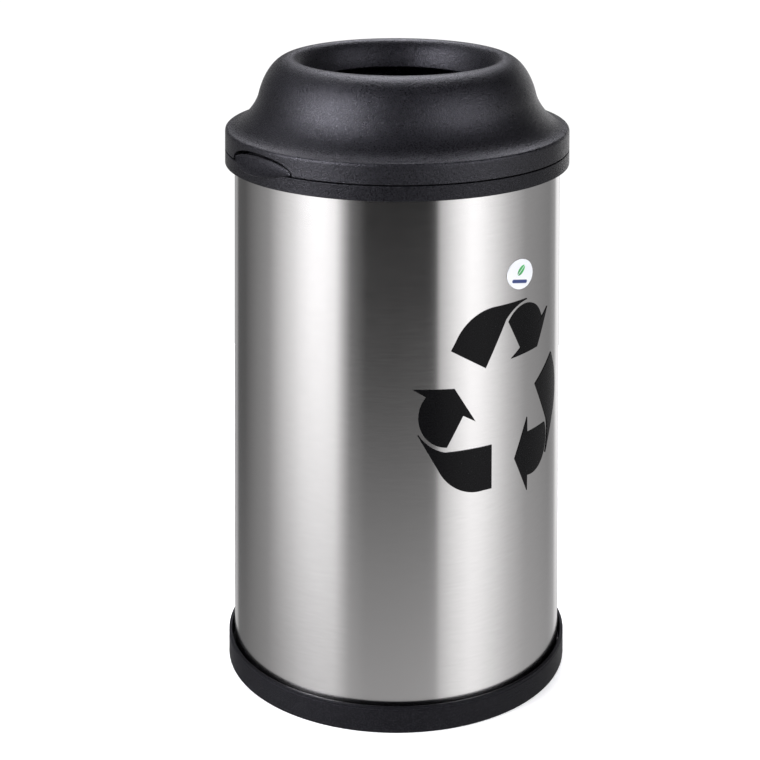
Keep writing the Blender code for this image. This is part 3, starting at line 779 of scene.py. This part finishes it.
class MakePads(bpy.types.Operator):
    """Six rubber foot pads with ring grooves"""

    bl_idname = "recycling_bin.pads"
    bl_label = "Foot pads"

    def execute(self, context):
        """A pad's section from its top to its grooved tread, turned about its own axis."""
        finish = foot_rubber("foot_rubber", colour("rubber"))
        top = BASE_WEB[0] - GAP
        corners = [(0, top), (PAD_RADIUS, top), (PAD_RADIUS, 0)]
        for middle in (0.0067, 0.0027):
            for step in (0.0009, 0.0005, -0.0005, -0.0009):
                corners.append((middle + step, TREAD_DEPTH if abs(step) < 0.0007 else 0))
        corners.append((0, 0))
        radii = [0, 0.0006, 0.0007] + [0.0002] * 8 + [0]
        points = revolved(eased(corners, radii, False, 3), full_turn(48))
        for i in range(PAD_COUNT):
            turn = Matrix.Rotation((2 * i + 1) * math.pi / PAD_COUNT, 4, "Z")
            name = f"foot_pad_{i + 1}"
            spot = turn @ Matrix.Translation((PAD_CIRCLE, 0, 0))
            mesh = skin(name + "_rubber", laid(points, spot), around=True)
            place(name + "_rubber", mesh, finish, "bin", "rubber", name)
        return {"FINISHED"}


def lid_section():
    """The dome's outer curve from throat to shoulder, the rounded edge and skirt, the rib
    that rests on the collar, the rib that guides the lid in its bore, and the inner curve,
    which runs a wall's thickness from the outer one."""
    funnel = bezier(THROAT, (0.1095, 0.6785), (0.1130, LID_TOP), CREST, 26)
    crown = bezier(CREST, (0.1444, LID_TOP), (0.1571, 0.6732), WAIST, 34)
    shoulder = bezier(WAIST, (0.1644, 0.6411), (0.1800, 0.6186), SHOULDER, 30)
    edge = bezier(SHOULDER, (0.1990, 0.6161), (LID_RADIUS, 0.6150), (LID_RADIUS, SKIRT_TOP), 12)
    outer = np.concatenate([funnel, crown[1:], shoulder[1:]])
    inner = beside(outer, LID_WALL)[::-1]
    under = inner[inner[:, 0] > 0.1302]
    skirt = LID_RADIUS - LID_WALL
    corners = [
        (LID_RADIUS, SKIRT_TOP),
        (LID_RADIUS, LID_BOTTOM),
        (skirt, LID_BOTTOM),
        (skirt, SHOULDER[1] - LID_WALL - 0.0010),
    ]
    for (outside, inside), foot in ((REST_RIB, COLLAR_TOP + GAP), (GUIDE_RIB, GUIDE_RIB_BOTTOM)):
        roots = np.interp([outside, inside], under[::-1, 0], under[::-1, 1])
        corners += [(outside, roots[0]), (outside, foot), (inside, foot), (inside, roots[1])]
    radii = [0.0001, 0.0004, 0.0004, 0.0006, 0.0004, 0.0004, 0.0004]
    radii += [0.0004, 0.0004, 0.0006, 0.0006, 0.0004]
    lower = eased(corners, radii, False)
    return np.concatenate([outer, edge[1:-1], lower, inner[inner[:, 0] < 0.1800]])


class MakeLid(bpy.types.Operator):
    """Domed lid with an open mouth and an arch over each finger scoop"""

    bl_idname = "recycling_bin.lid"
    bl_label = "Lid"

    def execute(self, context):
        """The section is turned about Z. Over each scoop the skirt's lower edge is lifted by
        17 mm times sqrt(1 - (azimuth from the scoop / 16.2 degrees)^2); the lift is whole
        at the edge and fades to nothing near the shoulder."""
        profile = lid_section()
        swing = ARCH_HALF_ANGLE * np.sin(np.linspace(-math.pi / 2, math.pi / 2, 41))
        between = np.linspace(ARCH_HALF_ANGLE, math.pi - ARCH_HALF_ANGLE, 116)[1:-1]
        half = np.concatenate([swing, between])
        azimuths = np.concatenate([half, half + math.pi])
        points = revolved(profile, azimuths)
        off = (azimuths + math.pi / 2) % math.pi - math.pi / 2
        arch = arch_height(off)
        high, low = SKIRT_TOP, LID_BOTTOM + 0.0010
        fade = np.clip((high - profile[:, 1]) / (high - low), 0, 1)
        skirt = profile[:, 0] > (REST_RIB[1] + GUIDE_RIB[0]) / 2
        points[..., 2] += np.where(skirt, fade, 0)[:, None] * arch[None]
        mesh = skin("lid_moulding", points, around=True, along=True)
        finish = grained_plastic("lid_plastic", colour("lid"))
        place("lid_moulding", mesh, finish, "lid", "lid_plastic", "lid")
        return {"FINISHED"}


def arch_height(azimuth):
    """How far the skirt's edge rises at an azimuth from the scoop's middle."""
    return ARCH_HEIGHT * np.sqrt(np.maximum(1 - (azimuth / ARCH_HALF_ANGLE) ** 2, 0))


def scoop_face(u, v, wall):
    """A scoop's dish over u from side to side and v from lip to top. With o = 1 - u^2, the
    height runs from the dipped lip, bottom + 0.5 - 6 o^1.5 mm, to 0.65 of the arch above
    it, which leaves a dark slot. The bowl's depth is 4.8 o^0.7 mm, and the radius leaves
    the bowl for the lip, 199 + 9 o mm, as (1-v)^1.9."""
    o = np.maximum(1 - u * u, 0)
    low = LID_BOTTOM + 0.0005 - 0.0060 * o**1.5
    angle = u * SCOOP_HALF_ANGLE
    high = LID_BOTTOM + SCOOP_SHARE * arch_height(angle)
    bowl = SCOOP_SIDE_RADIUS - SCOOP_DEPTH * o**0.7
    lip = SCOOP_END_RADIUS + SCOOP_LIP * o
    radius = bowl + (lip - bowl) * (1 - v) ** 1.9 - wall
    z = low + (high - low) * v
    return np.stack([radius * np.cos(angle), radius * np.sin(angle), z], -1)


class MakeScoops(bpy.types.Operator):
    """Finger scoops at the lid's sides"""

    bl_idname = "recycling_bin.scoops"
    bl_label = "Finger scoops"

    def execute(self, context):
        """The dish and its inner face are two grids; between them the lip is half an ellipse
        as thick as the wall."""
        u = np.sin(np.linspace(-math.pi / 2, math.pi / 2, 61))[None, :]
        v = (np.linspace(0, 1, 25) ** 1.5)[:, None]
        front, back = scoop_face(u, v, 0.0), scoop_face(u, v, SCOOP_WALL)
        round_lip = np.linspace(0, math.pi, 7)[1:-1, None, None]
        middle, out = (front[0] + back[0]) / 2, (front[0] - back[0]) / 2
        drop = np.array([0, 0, -SCOOP_WALL / 2])
        lip = middle + np.cos(round_lip) * out + np.sin(round_lip) * drop * 0.8
        loop = np.concatenate([front[::-1], lip, back])
        ends = loop.mean(0)
        first = np.broadcast_to(ends[0], (loop.shape[0], 1, 3))
        last = np.broadcast_to(ends[-1], (loop.shape[0], 1, 3))
        points = np.concatenate([first, loop, last], 1)
        finish = grained_plastic("scoop_plastic", colour("lid"))
        for name, angle in (("lid_scoop_right", 0), ("lid_scoop_left", math.pi)):
            turned = laid(points, Matrix.Rotation(angle, 4, "Z"))
            place(name, skin(name, turned, along=True), finish, "lid", "lid_plastic")
        return {"FINISHED"}


class MakeLiner(bpy.types.Operator):
    """Galvanised liner bucket with a rolled rim, pressed rings and four handle ears"""

    bl_idname = "recycling_bin.liner"
    bl_label = "Liner bucket"

    def execute(self, context):
        """A wall section from axis to axis, turned about Z. The wall widens evenly up to the
        band below the rim, and each pressed ring moves it in by its depth times
        exp(-(height from the ring / 4 mm)^2)."""
        s = sizes()
        top, foot = LINER_TOP, LINER_FOOT_RADIUS
        heights = np.concatenate(
            [np.linspace(0.0060, 0.0900, 12), np.linspace(0.1, 0.5400, 89), [0.5480, 0.5650]]
        )
        heights = LINER_BOTTOM + heights[LINER_BOTTOM + heights < top - 0.0090]
        slope = (heights - LINER_BOTTOM) / (LINER_BAND_BOTTOM - LINER_BOTTOM)
        radius = foot + (LINER_RADIUS - foot) * np.minimum(slope, 1)
        for ring in SWAGE_HEIGHTS:
            dent = np.exp(-(((heights - ring) / SWAGE_WIDTH) ** 2))
            radius = radius - s.swage_depth * dent
        wall = np.stack([radius, heights], 1)
        foot_out = bezier(
            (foot - 0.007, LINER_BOTTOM),
            (foot - 0.002, LINER_BOTTOM),
            (foot, LINER_BOTTOM + 0.002),
            (foot, LINER_BOTTOM + 0.0055),
            8,
        )
        angles = np.linspace(-0.5 * math.pi, 0.9 * math.pi, 14)
        centre = np.array([LINER_RIM_RADIUS - LINER_ROLL, top - LINER_ROLL])
        rim = centre + LINER_ROLL * np.stack([np.cos(angles), np.sin(angles)], 1)
        inner = wall[::-1] - [LINER_WALL, 0]
        foot_in = foot_out[::-1] + [-LINER_WALL, LINER_WALL]
        start = np.array([[0, LINER_BOTTOM + 0.0008], [foot - 0.02, LINER_BOTTOM]])
        last = np.array([[foot - 0.02, LINER_BOTTOM + 0.0016], [0, LINER_BOTTOM + 0.0026]])
        profile = np.concatenate([start, foot_out, wall, rim, inner, foot_in, last])
        points = revolved(profile, full_turn(240))
        mesh = skin("liner_bucket_wall", points, around=True)
        finish = zinc_spangle("bucket_zinc", colour("zinc"))
        place("liner_wall", mesh, finish, "liner", "galvanised_steel", "liner_bucket")
        ear = zinc_spangle("ear_zinc", colour("zinc"))
        for node in ("handle_ear_1a", "handle_ear_1b", "handle_ear_2a", "handle_ear_2b"):
            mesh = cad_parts[node].data
            mesh.materials.clear()
            mesh.materials.append(ear)
        return {"FINISHED"}


class MakeHandles(bpy.types.Operator):
    """Two drop handles of plated wire with ribbed grips"""

    bl_idname = "recycling_bin.handles"
    bl_label = "Drop handles"

    def execute(self, context):
        """The wire is a circle carried along a bail in the YZ plane. The grip is a section
        turned about Y, its radius less 0.5 mm times cos^2 of a wave along its length."""
        wide, drop = HANDLE_HALF_WIDTH, HANDLE_DROP
        elbow = (0, wide, -0.004)
        end = bezier((0, WIRE_END, 0), (0, wide + 0.005, 0), (0, wide + 0.002, 0), elbow, 10)
        turn_in, turn_out = (0, wide, 0.006 - drop), (0, wide - 0.001, -drop)
        corner = bezier(elbow, turn_in, turn_out, (0, wide - 0.010, -drop), 24)
        half = np.concatenate([end, corner[1:]])
        path = np.concatenate([half, half[::-1] * [1, -1, 1]])
        wire = swept(path, WIRE_RADIUS, 20)
        y = np.linspace(-1, 1, 141)
        ribs = 0.0005 * np.cos(y * math.pi * 9) ** 2 * (np.abs(y) < 0.93)
        ease = GRIP_RADIUS - ribs - 0.0012 * np.maximum(np.abs(y) - 0.95, 0) / 0.05
        outer = np.stack([ease, y * GRIP_LENGTH / 2], 1)
        bore = np.stack([np.full(2, WIRE_RADIUS + GAP), np.array([1, -1]) * GRIP_LENGTH / 2], 1)
        grip = revolved(np.concatenate([outer, bore]), full_turn(40))
        lower = Matrix.Translation((0, 0, -drop))
        grip = laid(grip, lower @ Matrix.Rotation(math.pi / 2, 4, "X"))
        plating = plated_metal("handle_plating", colour("wire"), 0.22)
        plastic = grained_plastic("grip_plastic", colour("ring"), 0.0007, 0.0002, 0.50)
        for number, side in ((1, 1), (2, -1)):
            move = Matrix.Translation((side * HANDLE_X, 0, HANDLE_Z))
            body = f"handle_{number}"
            mesh = skin(f"handle_wire_{number}", laid(wire, move), around=True)
            place(mesh.name, mesh, plating, body, "handle_wire", f"drop_handle_{number}")
            mesh = skin(f"grip_sleeve_{number}", laid(grip, move), around=True, along=True)
            place(mesh.name, mesh, plastic, body, "grip_plastic", f"handle_grip_{number}")
        return {"FINISHED"}


# ---------------------------------------------------------------- sign and label


def arc_through(start, middle, end, count):
    """The circle through three points, from the first to the last: its centre is where
    their bisectors meet, and the angle runs evenly the short way."""
    (ax, ay), (bx, by), (cx, cy) = start, middle, end
    twice = 2 * (ax * (by - cy) + bx * (cy - ay) + cx * (ay - by))
    a2, b2, c2 = ax * ax + ay * ay, bx * bx + by * by, cx * cx + cy * cy
    x = (a2 * (by - cy) + b2 * (cy - ay) + c2 * (ay - by)) / twice
    y = (a2 * (cx - bx) + b2 * (ax - cx) + c2 * (bx - ax)) / twice
    radius = math.hypot(ax - x, ay - y)
    first, last = math.atan2(ay - y, ax - x), math.atan2(cy - y, cx - x)
    turn = (last - first + math.pi) % (2 * math.pi) - math.pi
    a = first + turn * np.linspace(0, 1, count)
    return np.stack([x + radius * np.cos(a), y + radius * np.sin(a)], 1)


def in_band(lean, out, along):
    """A point of a straight band: out from the sign's centre, along the way it runs."""
    c, s = math.cos(lean), math.sin(lean)
    return (out * c + along * s, out * s - along * c)


def straight(start, end, count):
    return np.linspace(start, end, count)


def head_edges():
    """Inner and outer edges of the folded-over half, from the fold's foot to the tip."""
    lean, base, foot, tip = math.radians(30), -0.0345, -0.0718, -0.0130
    lip = base + 0.0003
    point = in_band(lean, (BAND_INNER + BAND_OUTER) / 2, tip)
    start = in_band(lean, BAND_INNER, foot)
    inner = [
        straight(start, in_band(lean, BAND_INNER, base), 30),
        straight(in_band(lean, BAND_INNER - BARB, lip), point, 30),
    ]
    fold = arc_through(start, (0.0355, 0.0993), in_band(lean, BAND_OUTER, base), 30)
    outer = [fold, straight(in_band(lean, BAND_OUTER + BARB, lip), point, 30)]
    return np.concatenate(inner), np.concatenate(outer)


def tail_edges():
    """Inner and outer edges of the rising half, from its straight foot to the fold."""
    lean, foot = math.radians(150), 0.0205
    fold = in_band(lean, BAND_INNER, 0.0760)
    corner = in_band(lean, BAND_OUTER, foot + 0.0120)
    inner = [
        straight(in_band(lean, BAND_INNER, foot), fold, 40),
        arc_through(fold, (0.0168, 0.1003), (0.0325, 0.1038), 24)[1:],
    ]
    bend = arc_through(corner, (-0.0435, 0.0975), (-0.0120, 0.1050), 29)
    outer = [
        straight(in_band(lean, BAND_OUTER, foot), corner, 11),
        bend[1:],
        straight((-0.0120, 0.1050), (0.0325, 0.1050), 25)[1:],
    ]
    return np.concatenate(inner), np.concatenate(outer)


def wrapped(flat, azimuth, height, radius):
    """Flat (x, y) rolled on a cylinder: azimuth + x / tube radius round it, height + y up."""
    angle = azimuth + flat[..., 0] / TUBE_RADIUS
    up = height + flat[..., 1]
    return np.stack([radius * np.sin(angle), -radius * np.cos(angle), up], -1)


class MakeSign(bpy.types.Operator):
    """Recycling sign: three like arrows of black film, each in two halves"""

    bl_idname = "recycling_bin.sign"
    bl_label = "Sign"

    def execute(self, context):
        """Each half fills the space between its two edges, inner + t (outer - inner), is
        turned by a third of a turn, and is wrapped round the tube."""
        t = np.linspace(0, 1, 41)[None, :, None]
        for part, (inner, outer) in (("head", head_edges()), ("tail", tail_edges())):
            flat = inner[:, None] + t * (outer - inner)[:, None]
            for number, degrees in ((1, 0), (2, -120), (3, 120)):
                c, s = math.cos(math.radians(degrees)), math.sin(math.radians(degrees))
                turned = flat @ np.array([[c, s], [-s, c]])
                top = wrapped(turned, 0, SIGN_HEIGHT, TUBE_RADIUS + GAP + FILM)
                under = wrapped(turned, 0, SIGN_HEIGHT, TUBE_RADIUS + GAP / 4)
                name = f"sign_{part}_{number}"
                finish = bpy.data.materials.get("sign_vinyl")
                finish = finish or vinyl_film("sign_vinyl", colour("film"))
                mesh = slab(name + "_film", top, under)
                place(name + "_film", mesh, finish, "bin", "black_film", name)
        return {"FINISHED"}


class MakeLabel(bpy.types.Operator):
    """Oval label with a plain leaf and bar"""

    bl_idname = "recycling_bin.label"
    bl_label = "Label"

    def execute(self, context):
        """Rings from the centre to the rim, (a s cos b, c s sin b), wrapped round the tube,
        over the top and back below."""
        s = sizes()
        ring = np.linspace(0, 1, 21)[:, None]
        b = full_turn(96)[None, :]
        flat = np.stack(
            [s.label_half_width * ring * np.cos(b), s.label_half_height * ring * np.sin(b)], -1
        )
        c, s = math.cos(LABEL_TURN), math.sin(LABEL_TURN)
        turned = flat @ np.array([[c, s], [-s, c]])
        top = wrapped(turned, LABEL_AZIMUTH, LABEL_HEIGHT, TUBE_RADIUS + GAP + FILM)
        under = wrapped(turned, LABEL_AZIMUTH, LABEL_HEIGHT, TUBE_RADIUS + GAP / 4)
        points = np.concatenate([top, under[::-1]])
        chart = np.concatenate([flat, flat[::-1]])
        mesh = skin("label_sheet", points, around=True, chart=chart)
        finish = printed_label("label_print", colour("paper"), colour("leaf"), colour("bar"))
        place("label_sheet", mesh, finish, "bin", "label", "front_label")
        return {"FINISHED"}


# ---------------------------------------------------------------- studio


CAMERA_AZIMUTH = math.radians(-39.3)
CAMERA_DISTANCE = 2.1096
CAMERA_HEIGHT = 1.0647
CAMERA_TILT = 0.035
CAMERA_ROLL = 0.00264
FOCAL = 1821.6
IMAGE = 760
AXIS_COLUMN, HORIZON_ROW = 398.17, -197.1
SENSOR = 36.0

# The room round the bin: degrees to the right of the camera's side, light at the bin's
# level, and light that comes up off the table
ROOM = (
    (-180, 0.12, 0.20),
    (-171, 0.16, 0.22),
    (-166, 0.24, 0.38),
    (-153, 0.24, 0.36),
    (-151, 0.07, 0.12),
    (-133, 0.07, 0.13),
    (-100, 0.23, 0.19),
    (-84, 0.53, 0.23),
    (-70, 0.72, 0.27),
    (-50, 0.80, 0.35),
    (-43, 0.78, 0.38),
    (-37, 0.36, 0.38),
    (-32, 0.10, 0.34),
    (-26, 0.05, 0.33),
    (-21, 0.006, 0.32),
    (0, 0.002, 0.33),
    (22, 0.006, 0.35),
    (27.3, 0.04, 0.37),
    (29.5, 0.38, 0.44),
    (40, 0.66, 0.58),
    (52, 0.88, 0.66),
    (60, 0.84, 0.62),
    (70, 0.68, 0.53),
    (85, 0.41, 0.40),
    (101, 0.23, 0.32),
    (135, 0.16, 0.25),
    (148, 0.25, 0.30),
    (153, 0.64, 0.40),
    (166, 0.64, 0.40),
    (171, 0.16, 0.22),
    (180, 0.12, 0.20),
)
# The soft boxes, left, right, behind and far left: degrees to the right of the camera's
# side, elevation, half angle, blur, and light
BOXES = (
    (-58, 18, 18, 9, 16.0),
    (53, 18, 20, 9, 4.6),
    (180, 50, 20, 10, 5.6),
    (-104, 42, 20, 10, 0.9),
)
# The sine of the elevation where the table's light and the ceiling take over, and over
# how much of it they do
TABLE_EDGE, TABLE_BLUR = -0.35, 0.12
CEILING_EDGE, CEILING_BLUR = 0.05, 0.2
CEILING_LIGHT = 0.04
ROOM_LIGHT = 1.7
BACKDROP_LIGHT = 1.05
FLOOR_RADIUS = 1.1
FLOOR_DROP = 0.00005


def aim_camera():
    """A view camera: the film's plane stays nearly upright while the view goes down to the
    bin, so upright lines stay parallel. The view direction is the film's normal times the
    focal length, moved off the film's centre; the shear is kept in the parent's inverse."""
    a, tilt, roll = CAMERA_AZIMUTH, CAMERA_TILT, CAMERA_ROLL
    eye = Vector((CAMERA_DISTANCE * math.sin(a), -CAMERA_DISTANCE * math.cos(a), CAMERA_HEIGHT))
    right = Vector((math.cos(a), math.sin(a), 0))
    level = Vector((-math.sin(a), math.cos(a), 0))
    normal = level * math.cos(tilt) - Vector((0, 0, math.sin(tilt)))
    up = level * math.sin(tilt) + Vector((0, 0, math.cos(tilt)))
    dx, dy = IMAGE / 2 - AXIS_COLUMN, IMAGE / 2 - HORIZON_ROW
    off_x = dx * math.cos(roll) + dy * math.sin(roll)
    off_y = dy * math.cos(roll) - dx * math.sin(roll)
    ahead = normal * FOCAL + right * off_x - up * off_y
    across = right * math.cos(roll) + up * math.sin(roll)
    above = up * math.cos(roll) - right * math.sin(roll)
    lens = bpy.data.cameras.new("studio_camera")
    lens.sensor_width = SENSOR
    lens.lens = ahead.length * SENSOR / IMAGE
    camera = bpy.data.objects.new("studio_camera", lens)
    rig = bpy.data.objects.new("camera_rig", None)
    for obj in (camera, rig):
        bpy.context.scene.collection.objects.link(obj)
    camera.location = eye
    camera.rotation_mode = "QUATERNION"
    camera.rotation_quaternion = ahead.to_track_quat("-Z", "Y")
    bpy.context.scene.camera = camera
    bpy.context.view_layer.update()
    plain = camera.matrix_world.copy()
    back = -ahead.normalized()
    sheared = Matrix.Identity(4)
    for column, axis in enumerate((across, above, back, eye)):
        for row in range(3):
            sheared[row][column] = axis[row]
    camera.parent = rig
    camera.matrix_parent_inverse = sheared @ plain.inverted()


def light_room():
    """The world is the ring above, which fades to the table's light below the bin's level,
    with soft boxes higher up and a dim ceiling; seen directly it is plain white."""
    world = bpy.data.worlds.new("studio_room")
    world.use_nodes = True
    bpy.context.scene.world = world
    f = Nodes(world.node_tree)
    way = f.node("ShaderNodeTexCoord", output="Generated")

    def toward(azimuth, elevation):
        a, e = CAMERA_AZIMUTH + math.radians(azimuth), math.radians(elevation)
        axis = (math.sin(a) * math.cos(e), -math.cos(a) * math.cos(e), math.sin(e))
        settings, values = {"operation": "DOT_PRODUCT"}, {0: way, 1: axis}
        return f.node("ShaderNodeVectorMath", settings, values, "Value")

    near, side, high = toward(0, 0), toward(90, 0), toward(0, 90)
    turn = near.math("ARCTAN2", side, near) / (2 * math.pi) + 0.5
    rings = []
    for column in (1, 2):
        stops = [((row[0] + 180) / 360, (row[column],) * 3) for row in ROOM]
        rings.append(f.node("ShaderNodeValToRGB", {"stops": stops}, {"Fac": turn}))
    level, table = rings
    below = ((TABLE_EDGE - high) / TABLE_BLUR).most(0.0).least(1.0)
    above = ((high - CEILING_EDGE) / CEILING_BLUR).most(0.0).least(1.0)
    boxes = 0.0
    for azimuth, elevation, half, blur, light in BOXES:
        edge, soft = math.cos(math.radians(half)), math.cos(math.radians(half - blur))
        lit = (toward(azimuth, elevation) - edge) / (soft - edge)
        boxes = boxes + lit.most(0.0).least(1.0) * light
    low = table * below + level * (1 - below)
    light = (low * (1 - above) + CEILING_LIGHT * above + boxes) * ROOM_LIGHT
    direct = f.node("ShaderNodeLightPath", output="Is Camera Ray")
    background = f.tree.nodes["Background"]
    tint = f.mix(above, (1.0, 0.993, 1.0), (0.94, 0.935, 1.0))
    f.tree.links.new(f.mix(direct, tint, (1.0, 1.0, 1.0)).socket, background.inputs["Color"])
    strength = light * (1 - direct) + direct * BACKDROP_LIGHT
    f.tree.links.new(strength.socket, background.inputs["Strength"])


class MakeStudio(bpy.types.Operator):
    """Camera, pale floor and soft light"""

    bl_idname = "recycling_bin.studio"
    bl_label = "Studio"

    def execute(self, context):
        """The floor is a round table top, rings from its middle to its rim, a hair below the
        pads. It glows a little, and isn't seen in reflections."""
        aim_camera()
        light_room()
        ring = np.linspace(0, FLOOR_RADIUS, 12)[:, None]
        b = full_turn(96)[None, :]
        points = np.stack([ring * np.cos(b), ring * np.sin(b), 0 * ring * b - FLOOR_DROP], -1)
        mesh = skin("floor", points, around=True)
        floor = bpy.data.objects.new("floor", mesh)
        context.scene.collection.objects.link(floor)
        f = Finish("floor_paint", Roughness=0.7, Emission_Strength=0.62)
        paint = f.noise(f.place(), 40.0, 3.0)
        top = tuple(c * 1.04 for c in colour("floor"))
        f.set("Base Color", f.mix(paint, colour("floor"), top))
        f.set("Emission Color", (1.0, 1.0, 1.0))
        floor.visible_glossy = False
        mesh.materials.append(f.material)
        if mesh.polygons[0].normal.z < 0:
            mesh.flip_normals()
        context.scene.view_settings.view_transform = "Standard"
        return {"FINISHED"}


class BinPanel(bpy.types.Panel):
    """Everything that builds the bin, in order"""

    bl_idname = "VIEW3D_PT_recycling_bin"
    bl_label = "Recycling bin"
    bl_space_type = "VIEW_3D"
    bl_region_type = "UI"
    bl_category = "Recycling bin"

    def draw(self, context):
        column = self.layout.column()
        for step in STEPS:
            column.operator(step.bl_idname)
        for group in (context.scene.bin_sizes, context.scene.bin_colours):
            for key in group.__annotations__:
                column.prop(group, key)


STEPS = (
    MakeTube,
    MakeCollar,
    MakeBase,
    MakePlate,
    MakeFasteners,
    MakePads,
    MakeLid,
    MakeScoops,
    MakeLiner,
    MakeHandles,
    MakeSign,
    MakeLabel,
    MakeStudio,
)


def register():
    for made in (BinSizes, BinColours, *STEPS, BinPanel):
        bpy.utils.register_class(made)
    bpy.types.Scene.bin_sizes = PointerProperty(type=BinSizes)
    bpy.types.Scene.bin_colours = PointerProperty(type=BinColours)


def unregister():
    del bpy.types.Scene.bin_colours, bpy.types.Scene.bin_sizes
    for made in (BinPanel, *reversed(STEPS), BinColours, BinSizes):
        bpy.utils.unregister_class(made)


def main():
    register()
    for step in STEPS:
        group, name = step.bl_idname.split(".")
        getattr(getattr(bpy.ops, group), name)()


if __name__ == "__main__":
    main()
